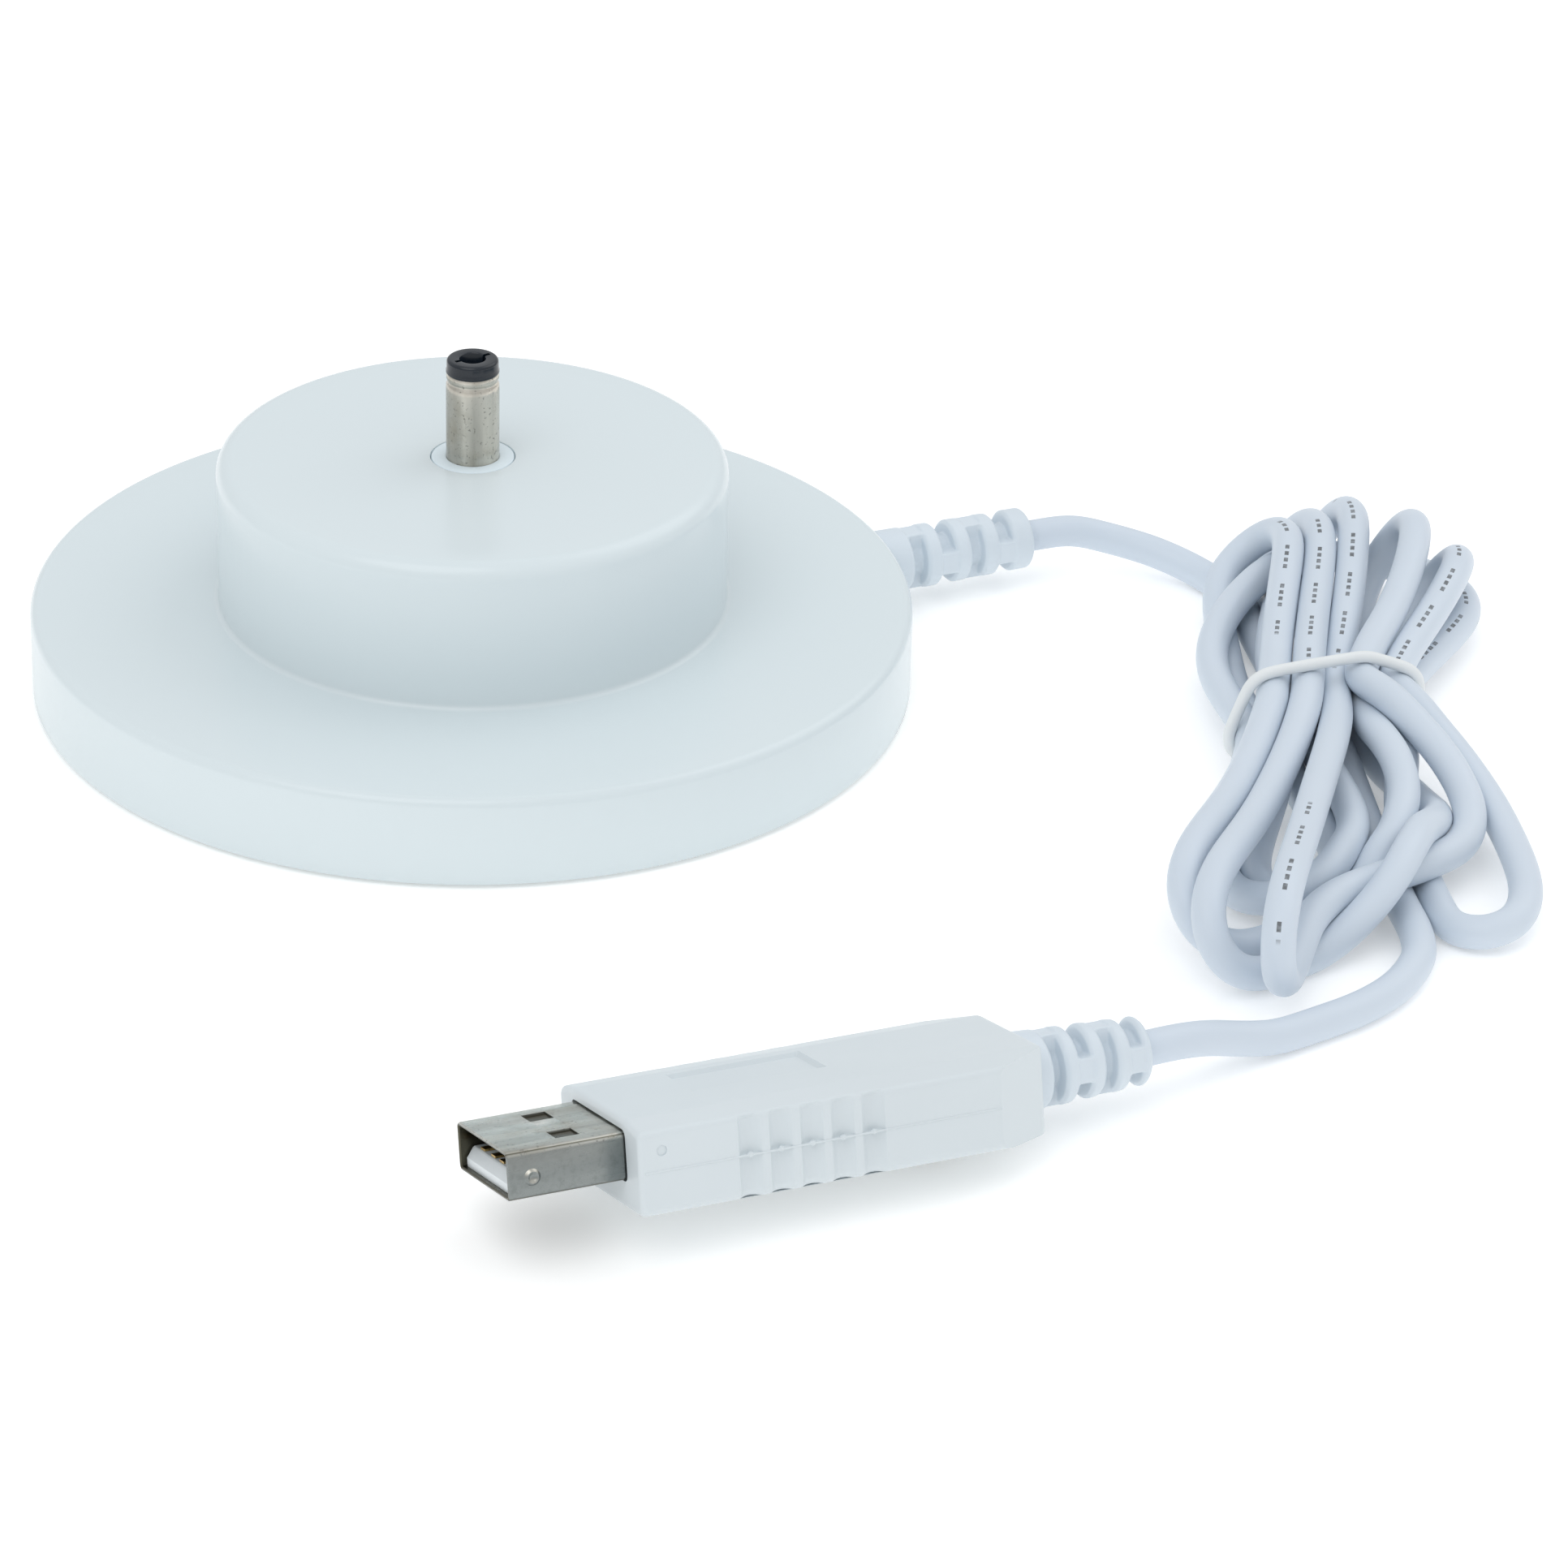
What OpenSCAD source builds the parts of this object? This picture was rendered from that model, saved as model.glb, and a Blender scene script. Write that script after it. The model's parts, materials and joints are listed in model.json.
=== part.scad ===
// Round two-tier charging base for an electric toothbrush.
// An upright barrel plug feeds the brush; a tied USB lead with a step-up plug feeds the base.
// Origin: centre of the base on the surface it stands on. +Z up, +X along the cord as it leaves.
// Millimetres.

/* [Base] */
// Diameter of the wide lower tier
base_d = 92; // [84:0.5:100]
// Height of the lower tier's rim
rim_h = 9.9; // [9.6:0.1:12]
// Diameter of the narrow upper tier
tier_d = 53; // [48:0.5:58]
// Height of the top deck
deck_h = 25.8; // [25:0.1:30]
// Radius of the rim's top edge
rim_edge_r = 1; // [0.6:0.1:1.2]
// Radius of the top deck's edge
deck_edge_r = 1.8; // [1:0.1:2.4]
// Radius in the corner between the two tiers
root_r = 0.6; // [0.3:0.1:1]
// Wall of the moulded shell
wall = 2; // [1.6:0.1:2.4]
// Height of the shell's lower edge over the surface
foot_gap = 0.4; // [0.3:0.1:0.8]

/* [Barrel plug] */
// Outer diameter of the sleeve
sleeve_d = 5.5; // [5.4:0.05:5.6]
// Height of the plug above the deck
plug_h = 11; // [10:0.1:12]
// Diameter of the sleeve's root, where the collar grips it
sleeve_root_d = 5.1; // [4.9:0.05:5.15]
// Height of the root's shoulder above the deck
root_show_h = 0.2; // [0.1:0.05:0.4]
// Height of the black insulating tip
tip_h = 1.5; // [1:0.1:2]
// Diameter of the centre contact's bore
contact_bore_d = 2.2; // [2.1:0.05:2.3]
// Height of the crimped groove above the deck
groove_h = 8.6; // [7:0.1:9]
// Diameter of the collar let into the deck
collar_d = 8.6; // [8.2:0.1:9]

/* [Cord] */
// Diameter of the cord
cord_d = 3.4; // [3.2:0.1:3.6]
// Height of the cord's axis where it leaves the base
cord_z = 5; // [4.6:0.1:5.2]
// Length of the base's strain relief outside the rim
relief_len = 19.4; // [19:0.1:20]
// Diameter of a strain relief at its thick end
relief_d = 7; // [6.8:0.1:7.2]
// Diameter of a strain relief at its thin end
relief_end_d = 6.5; // [6.2:0.1:6.7]

/* [USB plug] */
// Width of the steel shell
usb_w = 12; // [11.9:0.05:12.1]
// Height of the steel shell
usb_h = 4.5; // [4.4:0.05:4.6]
// Length of shell outside the housing
usb_len = 11.2; // [10.8:0.1:12]
// Width of the housing
housing_w = 18.4; // [17.8:0.1:19]
// Length of the housing
housing_len = 41.3; // [40:0.1:43]
// Length of housing before its rear corners taper
housing_body_len = 35.5; // [34:0.1:36]
// Width of the housing's rear end
housing_rear_w = 12.4; // [11:0.1:14]
// Wall of the housing
housing_wall = 1.3; // [1.1:0.1:1.5]

/* [Hidden] */

$fn = 96;
gap = 0.1;
base_r = base_d / 2;
tier_r = tier_d / 2;
rim_under = rim_h - wall;
deck_under = deck_h - wall;
white = [0.93, 0.95, 0.95];
cord_white = [0.84, 0.88, 0.92];
plug_white = [0.88, 0.91, 0.94];
nickel = [0.68, 0.68, 0.65];

// base plate, its screws and pads
plate_r = base_r - wall - 0.2;
plate_t = 2;
plate_top = foot_gap + plate_t;
screw_ring_r = 36;
screw_angles = [30, 150, 270];
screw_r = 1.3;
screw_head_r = 2.4;
screw_head_t = 0.9;
boss_r = 3.2;
pad_ring_r = 36;
pad_angles = [90, 210, 330];
pad_r = 5;
pad_recess = 0.5;
ballast_r = 31;
ballast_t = 4;
ballast_bore_r = 8;

// the cross in every screw head
cross_w = 0.5;
cross_depth = 0.5;

// slot that lets the cord into the base
cord_slot_w = 14;
plate_notch_x = 40.6;
plate_notch_w = 9.4;

// barrel plug
plug_top = deck_h + plug_h;
sleeve_r = sleeve_d / 2;
sleeve_root_r = sleeve_root_d / 2;
sleeve_root_top = deck_h + root_show_h;
sleeve_bore_r = 2.3;
sleeve_top = plug_top - tip_h;
sleeve_bottom = 17;
tail_room_r = 3.4;
contact_r = 1.6;
contact_bottom = 14.6;
contact_top = sleeve_top - 2.2;
contact_slit_w = 0.4;
contact_slit_h = 6;
crimp_depth = 0.25;
crimp_r = 0.45;
tip_mouth_r = 1.33;
tip_mouth_h = 0.5;
tip_notch_x = 1.58;
tip_notch_w = 0.4;
tip_notch_h = 0.9;
collar_r = collar_d / 2;
collar_flange_r = 7;
collar_bottom = 15.8;
collar_body_r = 5;
collar_flange_t = 4.6;
retainer_t = 2;
retainer_len = 36;
retainer_w = 12;
retainer_screw_y = 14;
retainer_boss_r = 2.6;
small_screw_r = 0.9;
small_head_r = 1.7;
small_head_t = 0.8;
small_screw_len = 7;
cover_screw_len = 6;
boss_bury = 0.5;

// strain reliefs: slots open by turns at the sides and at top and bottom
slot_count = 4;
slot_w = 1.8;
slot_pitch = 3.43;
first_slot = 5.8;
relief_core_r = 2.1;
relief_web = 2.4;
relief_flange_x = 40.8;
relief_flange_t = 2.6;
relief_flange_w = 9;
relief_flange_z = 1.2;
relief_flange_h = 6.6;
clamp_x = 30;
clamp_len = 5;
clamp_w = 13;
clamp_h = 5;
clamp_screw_y = 4.8;
inner_cord_x = 26;
wire_d = 1.1;
red_wire_route = [[26, 0.7, 5], [20, 1.2, 5.4], [13, 1.8, 6], [6, 1.5, 7.4], [1.4, 0.7, 9.8],
    [0, 0, 12.4], [0, 0, 14.6]];
black_wire_route = [[26, -0.7, 5], [20, -1.2, 5.4], [13, -2, 6], [6.4, -2.4, 8], [3.2, -2, 12],
    [2.45, -0.6, 15], [2.45, 0, 17]];

cord_sides = 8;

// the tied hank: its waist, the way it points and the tie across it
hank_at = [73.5, -51];
hank_turn = -26;
hank_h = 12.6;
hank_low_h = 4;
tie_turn = 20;
tie_d = 1.1;
waist_w = 21;
waist_h = 10.2;
tie_tail_x = 1.7;
tie_tail_len = 11;
tie_groove_w = 3;
tie_groove_len = 17;
tie_groove_h = 1.6;
pocket_len = 9;
// discs [x, y, r] round the far loops, the near loops, and the near loops' underside
far_loops = [[-5, 2, 6], [-5.5, 8, 8.5], [-2.5, 27, 6.5], [4, 33, 9.5], [9.5, 33, 8.7],
    [10.5, 20, 8], [4, 4, 6]];
near_loops = [[5, -2, 6], [10.5, -16, 8], [8, -40, 10], [-7, -51, 8.5], [-9, -44, 8], [-4, -6, 7.5]];
near_low = [[5, -2, 6], [9, -16, 8], [6, -30, 9], [-9, -43, 8], [-4, -6, 7.5]];

// the USB plug lies on its far lower edge, its mouth towards -X
plug_at = [-29.2, -103.6, 8.3];
plug_roll = -15;
plug_pitch = 1.9;
housing_top_z = 3.36;
housing_low_z = -5.04;
shoulder_z = 2.8;
shoulder_y = 6;
housing_low_r = 1;
parting_z = -0.9;
housing_screw_x = 32.3;
housing_screw_len = 3;
relief_inside_len = 3.4;
relief_neck_d = 5.6;
relief_ring_d = 6.6;
relief_ring_t = 1.6;
grip_count = 5;
grip_x = 10.7;
grip_pitch = 3.03;
grip_r = 1.6;
grip_depth = 0.45;
grip_top_z = 2.4;
panel_x = 8.9;
panel_len = 13;
panel_y = 2;
panel_w = 6;
panel_depth = 0.3;
usb_wall = 0.35;
usb_corner_r = 0.6;
usb_inside = 5.5;
usb_window = 2.3;
usb_window_x = -4.6;
usb_window_y = 3;
tongue_w = 11;
tongue_t = 1.8;
tongue_x = -10.8;
usb_contact_x = -9.8;
contact_ys = [-3.5, -1, 1, 3.5];
usb_contact_w = 1;
usb_contact_t = 0.2;
board_x = 6;
board_len = 28;
board_w = 13;
board_t = 1;
board_z = -1.6;
board_top = board_z + board_t;
inductor_at = [18, -2];
inductor_r = 2.9;
inductor_core_r = 2.3;
inductor_h = 2.4;
inductor_flange_t = 0.5;
chip_at = [11.5, -1.5];
chip_size = [3, 1.7, 1.1];
chip_pin_size = [0.4, 0.7, 0.2];
chip_pin_pitch = 0.95;
diode_at = [23, -3.3];
diode_size = [4.4, 2.6, 1.9];
diode_tab_size = [0.9, 1.4, 0.3];
capacitor_at = [[9, 2.6], [14, 3.4], [23.5, 2.4], [28, 2.4]];
capacitor_size = [3.2, 1.6, 1.3];
resistor_at = [[8.4, -5.6], [10.8, -5.6], [13.2, -5.6], [30.4, -5.2]];
resistor_size = [1.6, 0.8, 0.5];
output_route = [[32.6, 1.6, -0.1], [34.6, 1.5, -0.2], [36.4, 1.1, -0.6], [37.9, 0.8, -0.84]];
output_wire_d = 1;
plug_relief_z = (housing_top_z + housing_low_z) / 2;
plug_relief_len = 12.9;
plug_relief_d = 7.7;
plug_slot_w = 1.35;
plug_slot_pitch = 2.75;
plug_first_slot = 3.1;

// the cord's free stretches, straight out of each strain relief and along the surface
cord_r = cord_d / 2;
lead_route = [[base_r + relief_len, 0, cord_z], [70, -0.5, 5], [74, -2, 4], [78, -5, 3], [81, -9, 2],
    [82, -13, cord_r], [82, -17.5, cord_r], [81.5, -22, cord_r]];
tail_route = [[65.5, -87, cord_r], [63, -90.5, cord_r], [60, -94, cord_r], [56, -97, cord_r],
    [51, -99, cord_r], [46, -100, cord_r], [41, -101, 2], [37, -101.5, 3], [33, -102.5, 4.5],
    [29, -103.5, 5.5], on_plug_at([housing_len + plug_relief_len, 0, plug_relief_z])];

// points of an arc in an outline, from angle a to angle b
function turned(r, a) = r * [cos(a), sin(a)];
function arc(c, r, a, b, n = 8) = [for (i = [0:n]) c + turned(r, a + (b - a) * i / n)];

// sweep of a round wire along a route
function unit(v) = v / norm(v);

// where a point of the plug's own frame comes in the part's frame
function tipped(p, a) = [p[0], p[1] * cos(a) - p[2] * sin(a), p[1] * sin(a) + p[2] * cos(a)];
function pitched(p, a) = [p[0] * cos(a) + p[2] * sin(a), p[1], p[2] * cos(a) - p[0] * sin(a)];
function on_plug_at(p) = plug_at + pitched(tipped(p, plug_roll), plug_pitch);

function heading(route, i) = unit(route[min(i + 1, len(route) - 1)] - route[max(i - 1, 0)]);
function ring(route, i, r, up) = [for (k = [0:cord_sides - 1])
    let (t = heading(route, i), side = unit(cross(t, up)), a = 360 * (k + 0.5) / cord_sides)
    route[i] + r * (cos(a) * side + sin(a) * cross(side, t))];

// up is a direction that the route never runs along
module swept(route, d, up = [0, 0, 1]) {
    n = cord_sides;
    rings = len(route);
    points = [for (i = [0:rings - 1]) each ring(route, i, d / 2, up)];
    sides = [for (i = [0:rings - 2], k = [0:n - 1])
        [i * n + k, i * n + (k + 1) % n, (i + 1) * n + (k + 1) % n, (i + 1) * n + k]];
    first = [for (k = [0:n - 1]) n - 1 - k];
    last = [for (k = [0:n - 1]) (rings - 1) * n + k];
    polyhedron(points, concat([first], sides, [last]));
}

module on_ring(angles, r) {
    for (a = angles) rotate([0, 0, a]) translate([r, 0, 0]) children();
}

module along_x(x = 0, y = 0, z = 0) {
    translate([x, y, z]) rotate([0, 90, 0]) children();
}

module cylinder_between(r, z0, z1) {
    translate([0, 0, z0]) cylinder(r = r, h = z1 - z0);
}

// a cross-head screw, its head down at z = 0
module screw(r, head_r, head_t, len) {
    difference() {
        union() {
            cylinder(r = head_r, h = head_t, $fn = 32);
            cylinder(r = r, h = len, $fn = 32);
        }
        for (a = [0, 90]) rotate([0, 0, a]) translate([-head_r * 0.6, -cross_w / 2, -1])
            cube([head_r * 1.2, cross_w, 1 + cross_depth]);
    }
}

// ---------- base ----------

module shell_outline() {
    polygon(concat(
        [[base_r, foot_gap]],
        arc([base_r - rim_edge_r, rim_h - rim_edge_r], rim_edge_r, 0, 90),
        arc([tier_r + root_r, rim_h + root_r], root_r, 270, 180),
        arc([tier_r - deck_edge_r, deck_h - deck_edge_r], deck_edge_r, 0, 90),
        [[collar_r + gap, deck_h], [collar_r + gap, deck_under]],
        [[tier_r - wall, deck_under], [tier_r - wall, rim_under]],
        [[base_r - wall, rim_under], [base_r - wall, foot_gap]]));
}

module upper_shell() {
    color(white) difference() {
        union() {
            rotate_extrude($fn = 180) shell_outline();
            on_ring(screw_angles, screw_ring_r) translate([0, 0, plate_top])
                cylinder(r = boss_r, h = rim_under - plate_top + boss_bury, $fn = 32);
            for (y = [-1, 1]) translate([0, y * retainer_screw_y, collar_bottom])
                cylinder(r = retainer_boss_r, h = deck_under - collar_bottom + boss_bury, $fn = 32);
        }
        along_x(base_r - 2 * wall, 0, cord_z) cylinder(d = relief_d, h = 4 * wall, $fn = 48);
        on_ring(screw_angles, screw_ring_r) translate([0, 0, plate_top - 1])
            cylinder(r = screw_r, h = cover_screw_len, $fn = 32);
        for (y = [-1, 1]) translate([0, y * retainer_screw_y, collar_bottom - 1])
            cylinder(r = small_screw_r, h = small_screw_len, $fn = 32);
    }
}

module base_plate() {
    color(white) difference() {
        translate([0, 0, foot_gap]) cylinder(r = plate_r, h = plate_t, $fn = 180);
        on_ring(screw_angles, screw_ring_r) {
            cylinder(r = screw_r + gap, h = plate_top + 1, $fn = 32);
            cylinder(r = screw_head_r + gap, h = foot_gap + screw_head_t + gap, $fn = 32);
        }
        on_ring(pad_angles, pad_ring_r) cylinder(r = pad_r + gap, h = foot_gap + pad_recess, $fn = 48);
        translate([plate_notch_x, -plate_notch_w / 2, 0]) cube([base_r, plate_notch_w, plate_top + 1]);
        for (y = [-1, 1]) translate([clamp_x, y * clamp_screw_y, 0])
            cylinder(r = small_screw_r, h = plate_top + 1, $fn = 32);
    }
}

module ballast_plate() {
    color("slategray") difference() {
        translate([0, 0, plate_top]) cylinder(r = ballast_r, h = ballast_t, $fn = 120);
        translate([0, 0, plate_top - 1]) cylinder(r = ballast_bore_r, h = ballast_t + 2, $fn = 48);
        translate([0, -cord_slot_w / 2, plate_top - 1]) cube([base_r, cord_slot_w, ballast_t + 2]);
    }
}

module foot_pads() {
    color("gainsboro") on_ring(pad_angles, pad_ring_r)
        cylinder(r = pad_r, h = foot_gap + pad_recess, $fn = 48);
}

module cover_screws() {
    color(nickel) on_ring(screw_angles, screw_ring_r) translate([0, 0, foot_gap + gap])
        screw(screw_r, screw_head_r, screw_head_t, cover_screw_len);
}

// ---------- barrel plug ----------

module plug_collar() {
    color(cord_white) difference() {
        union() {
            cylinder_between(collar_body_r, collar_bottom, deck_under);
            cylinder_between(collar_flange_r, deck_under - collar_flange_t, deck_under);
            cylinder_between(collar_r, collar_bottom, deck_h);
        }
        cylinder_between(sleeve_root_r, sleeve_bottom, plug_top);
        cylinder_between(tail_room_r, collar_bottom - 1, sleeve_bottom);
    }
}

module plug_sleeve() {
    crimp_z = deck_h + groove_h;
    color(nickel) difference() {
        union() {
            cylinder_between(sleeve_root_r, sleeve_bottom, sleeve_top);
            cylinder_between(sleeve_r, sleeve_root_top, sleeve_top);
        }
        cylinder_between(sleeve_bore_r, sleeve_bottom - 1, sleeve_top + 1);
        translate([0, 0, crimp_z]) rotate_extrude()
            translate([sleeve_r + crimp_r - crimp_depth, 0]) circle(r = crimp_r, $fn = 24);
    }
}

module plug_tip() {
    color("dimgray") difference() {
        union() {
            cylinder_between(sleeve_r, sleeve_top, plug_top);
            cylinder_between(sleeve_bore_r, contact_top + gap, sleeve_top + gap);
        }
        cylinder_between(contact_bore_d / 2, contact_top - 1, plug_top + 1);
        translate([0, 0, plug_top - tip_mouth_h])
            cylinder(r1 = contact_bore_d / 2, r2 = tip_mouth_r, h = tip_mouth_h + 0.01);
        translate([-tip_notch_x, -tip_notch_w / 2, plug_top - tip_notch_h])
            cube([2 * tip_notch_x, tip_notch_w, tip_notch_h + 1]);
    }
}

module inner_insulator() {
    color("ivory") difference() {
        cylinder_between(sleeve_bore_r, sleeve_bottom, contact_top);
        cylinder_between(contact_r, sleeve_bottom - 1, contact_top + 1);
    }
}

module centre_contact() {
    color("goldenrod") difference() {
        cylinder_between(contact_r, contact_bottom, contact_top);
        cylinder_between(contact_bore_d / 2, contact_bottom + 2, contact_top + 1);
        translate([-contact_r - 1, -contact_slit_w / 2, contact_top - contact_slit_h])
            cube([2 * contact_r + 2, contact_slit_w, contact_slit_h + 1]);
    }
}

module plug_retainer() {
    color(white) difference() {
        translate([-retainer_w / 2, -retainer_len / 2, collar_bottom - retainer_t])
            cube([retainer_w, retainer_len, retainer_t]);
        cylinder_between(tail_room_r, collar_bottom - retainer_t - 1, collar_bottom + 1);
        for (y = [-1, 1]) translate([0, y * retainer_screw_y, 0])
            cylinder_between(small_screw_r + gap, collar_bottom - retainer_t - 1, collar_bottom + 1);
    }
}

module retainer_screws() {
    z = collar_bottom - retainer_t - small_head_t;
    color(nickel) for (y = [-1, 1]) translate([0, y * retainer_screw_y, z])
        screw(small_screw_r, small_head_r, small_head_t, small_screw_len);
}

// ---------- cord entry ----------

// one ring slot between two ribs, with a web left on each side of the core
module rib_slot(w, core_r) {
    difference() {
        cylinder(r = relief_d, h = w);
        translate([0, 0, -1]) cylinder(r = core_r, h = w + 2);
        translate([-relief_d, -relief_web / 2, -1]) cube([2 * relief_d, relief_web, w + 2]);
    }
}

// a ribbed sleeve along its own +Z, bored for the cord
module ribbed_sleeve(len, d0, d1, first, pitch, w) {
    difference() {
        cylinder(d1 = d0, d2 = d1, h = len);
        translate([0, 0, -1]) cylinder(d = cord_d, h = len + 2);
        for (i = [0:slot_count - 1]) translate([0, 0, first + i * pitch - w / 2])
            rotate([0, 0, 90 * (i % 2)]) rib_slot(w, relief_core_r);
    }
}

module cord_relief() {
    neck = base_r - relief_flange_x;
    color(plug_white) {
        along_x(base_r, 0, cord_z)
            ribbed_sleeve(relief_len, relief_d, relief_end_d, first_slot, slot_pitch, slot_w);
        difference() {
            union() {
                along_x(relief_flange_x, 0, cord_z) cylinder(d = relief_d, h = neck);
                translate([relief_flange_x, -relief_flange_w / 2, relief_flange_z])
                    cube([relief_flange_t, relief_flange_w, relief_flange_h]);
            }
            along_x(relief_flange_x - 1, 0, cord_z) cylinder(d = cord_d, h = neck + 2);
        }
    }
}

module cord_clamp() {
    color(white) difference() {
        translate([clamp_x - clamp_len / 2, -clamp_w / 2, plate_top]) cube([clamp_len, clamp_w, clamp_h]);
        along_x(inner_cord_x, 0, cord_z) cylinder(d = cord_d, h = 2 * clamp_len);
        for (y = [-1, 1]) translate([clamp_x, y * clamp_screw_y, 0])
            cylinder_between(small_screw_r, plate_top - 1, plate_top + clamp_h + 1);
    }
}

module clamp_screws() {
    z = plate_top + clamp_h + small_head_t;
    color(nickel) for (y = [-1, 1]) translate([clamp_x, y * clamp_screw_y, z])
        mirror([0, 0, 1]) screw(small_screw_r, small_head_r, small_head_t, small_screw_len);
}

module inner_cord() {
    color(cord_white) along_x(inner_cord_x, 0, cord_z)
        cylinder(d = cord_d, h = base_r + relief_len - inner_cord_x);
}

module red_wire() {
    color("firebrick") swept(red_wire_route, wire_d, [0, 1, 0]);
}

module black_wire() {
    color("black") swept(black_wire_route, wire_d, [0, 1, 0]);
}

// ---------- free cord ----------

module cord_lead() {
    color(cord_white) swept(lead_route, cord_d);
}

module cord_tail() {
    color(cord_white) swept(tail_route, cord_d);
}

module in_hank() {
    translate([hank_at[0], hank_at[1], 0]) rotate([0, 0, hank_turn]) children();
}

// a flat slab with an outline that goes round a few discs, each [x, y, r]
module rounded_slab(discs, z0, h) {
    translate([0, 0, z0]) linear_extrude(h) hull()
        for (d = discs) translate([d[0], d[1]]) circle(r = d[2], $fn = 32);
}

// a blind hole for the end of a stretch of cord, from its end point back out
module cord_pocket(end, before) {
    translate(end) rotate([0, 0, atan2(before[1] - end[1], before[0] - end[0])]) rotate([0, 90, 0])
        cylinder(d = cord_d + 4 * gap, h = pocket_len, $fn = 24);
}

module cord_hank() {
    tie_room = tie_d + 2 * gap;
    last = len(lead_route) - 1;
    color(cord_white) difference() {
        union() {
            difference() {
                in_hank() {
                    rounded_slab(far_loops, 0, hank_h);
                    rounded_slab(near_low, 0, hank_low_h + 1);
                    rounded_slab(near_loops, hank_low_h, hank_h - hank_low_h);
                }
                in_hank() rotate([0, 0, tie_turn]) translate([-waist_w, -tie_room / 2, -1])
                    cube([2 * waist_w, tie_room, hank_h + 2]);
            }
            in_hank() rotate([0, 0, tie_turn]) translate([-waist_w / 2, -tie_room, tie_d])
                cube([waist_w, 2 * tie_room, waist_h]);
        }
        cord_pocket(lead_route[last], lead_route[last - 1]);
        cord_pocket(tail_route[0], tail_route[1]);
        in_hank() translate([tie_tail_x - tie_groove_w / 2, -tie_groove_len, -1])
            cube([tie_groove_w, tie_groove_len, tie_groove_h + 1]);
    }
}

module cord_tie() {
    color(white) in_hank() {
        rotate([0, 0, tie_turn]) translate([0, tie_d / 2, 0]) rotate([90, 0, 0])
            linear_extrude(tie_d) difference() {
                translate([-waist_w / 2 - tie_d, 0]) square([waist_w + 2 * tie_d, waist_h + 2 * tie_d]);
                translate([-waist_w / 2, tie_d]) square([waist_w, waist_h]);
            }
        translate([tie_tail_x, -tie_tail_len, tie_d / 2]) rotate([-90, 0, 0])
            cylinder(d = tie_d, h = tie_tail_len, $fn = 24);
    }
}

// ---------- USB plug ----------

module on_plug() {
    translate(plug_at) rotate([plug_roll, plug_pitch, 0]) children();
}

// the tube of a rounded rectangle along X, standing on y = z = 0
module usb_bar(x0, x1, w, h, r) {
    translate([x0, 0, 0]) rotate([90, 0, 90]) linear_extrude(x1 - x0) {
        square([w - 2 * r, h], center = true);
        square([w, h - 2 * r], center = true);
        for (y = [-1, 1], z = [-1, 1]) translate([y * (w / 2 - r), z * (h / 2 - r)]) circle(r = r, $fn = 32);
    }
}

module usb_shell() {
    color(nickel) on_plug() difference() {
        usb_bar(-usb_len, usb_inside, usb_w, usb_h, usb_corner_r);
        usb_bar(-usb_len - 1, usb_inside + 1, usb_w - 2 * usb_wall, usb_h - 2 * usb_wall,
            usb_corner_r - usb_wall);
        for (y = [-1, 1]) translate([usb_window_x, y * usb_window_y, 0])
            cube([usb_window, usb_window, 2 * usb_h], center = true);
    }
}

module usb_insulator() {
    color("white") on_plug() translate([tongue_x, -tongue_w / 2, -usb_h / 2 + usb_wall])
        cube([usb_inside - tongue_x, tongue_w, tongue_t]);
}

module usb_contacts() {
    z = -usb_h / 2 + usb_wall + tongue_t;
    color("gold") on_plug() for (y = contact_ys) translate([usb_contact_x, y - usb_contact_w / 2, z])
        cube([usb_inside - usb_contact_x, usb_contact_w, usb_contact_t]);
}

// the housing as seen from above, drawn inwards by a margin
module housing_plan(margin) {
    y0 = housing_w / 2 - margin;
    y1 = housing_rear_w / 2 - margin;
    polygon([[margin, -y0], [housing_body_len, -y0], [housing_len - margin, -y1],
        [housing_len - margin, y1], [housing_body_len, y0], [margin, y0]]);
}

// the housing's cross-section: rounded below, with a shallow shoulder each side on top
module housing_section(margin) {
    y0 = housing_w / 2 - margin;
    low = housing_low_z + margin;
    r = housing_low_r;
    polygon(concat(
        [[shoulder_y - margin, housing_top_z - margin], [y0, shoulder_z - margin]],
        arc([y0 - r, low + r], r, 0, -90),
        arc([-y0 + r, low + r], r, 270, 180),
        [[-y0, shoulder_z - margin], [-shoulder_y + margin, housing_top_z - margin]]));
}

module housing_block(margin) {
    intersection() {
        translate([0, 0, -housing_w]) linear_extrude(2 * housing_w) housing_plan(margin);
        rotate([90, 0, 90]) linear_extrude(housing_len) housing_section(margin);
    }
}

module housing() {
    difference() {
        housing_block(0);
        housing_block(housing_wall);
        usb_bar(-1, usb_inside, usb_w, usb_h, usb_corner_r);
        along_x(housing_len - relief_inside_len, 0, plug_relief_z)
            cylinder(d = relief_neck_d, h = 2 * relief_inside_len, $fn = 48);
        for (i = [0:grip_count - 1], y = [-1, 1])
            translate([grip_x + i * grip_pitch, y * (housing_w / 2 + grip_r - grip_depth), 2 * housing_low_z])
                cylinder(r = grip_r, h = grip_top_z - 2 * housing_low_z, $fn = 32);
        translate([panel_x, panel_y - panel_w / 2, housing_top_z - panel_depth])
            cube([panel_len, panel_w, 1]);
        translate([housing_screw_x, 0, housing_low_z - 1])
            cylinder(r = small_head_r + 2 * gap, h = 1 + small_head_t + gap, $fn = 32);
        translate([housing_screw_x, 0, housing_low_z - 1])
            cylinder(r = small_screw_r, h = 1 + housing_screw_len + gap, $fn = 32);
    }
}

module housing_top() {
    color(plug_white) on_plug() intersection() {
        housing();
        translate([-1, -housing_w, parting_z]) cube([housing_len + 2, 2 * housing_w, housing_w]);
    }
}

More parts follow.
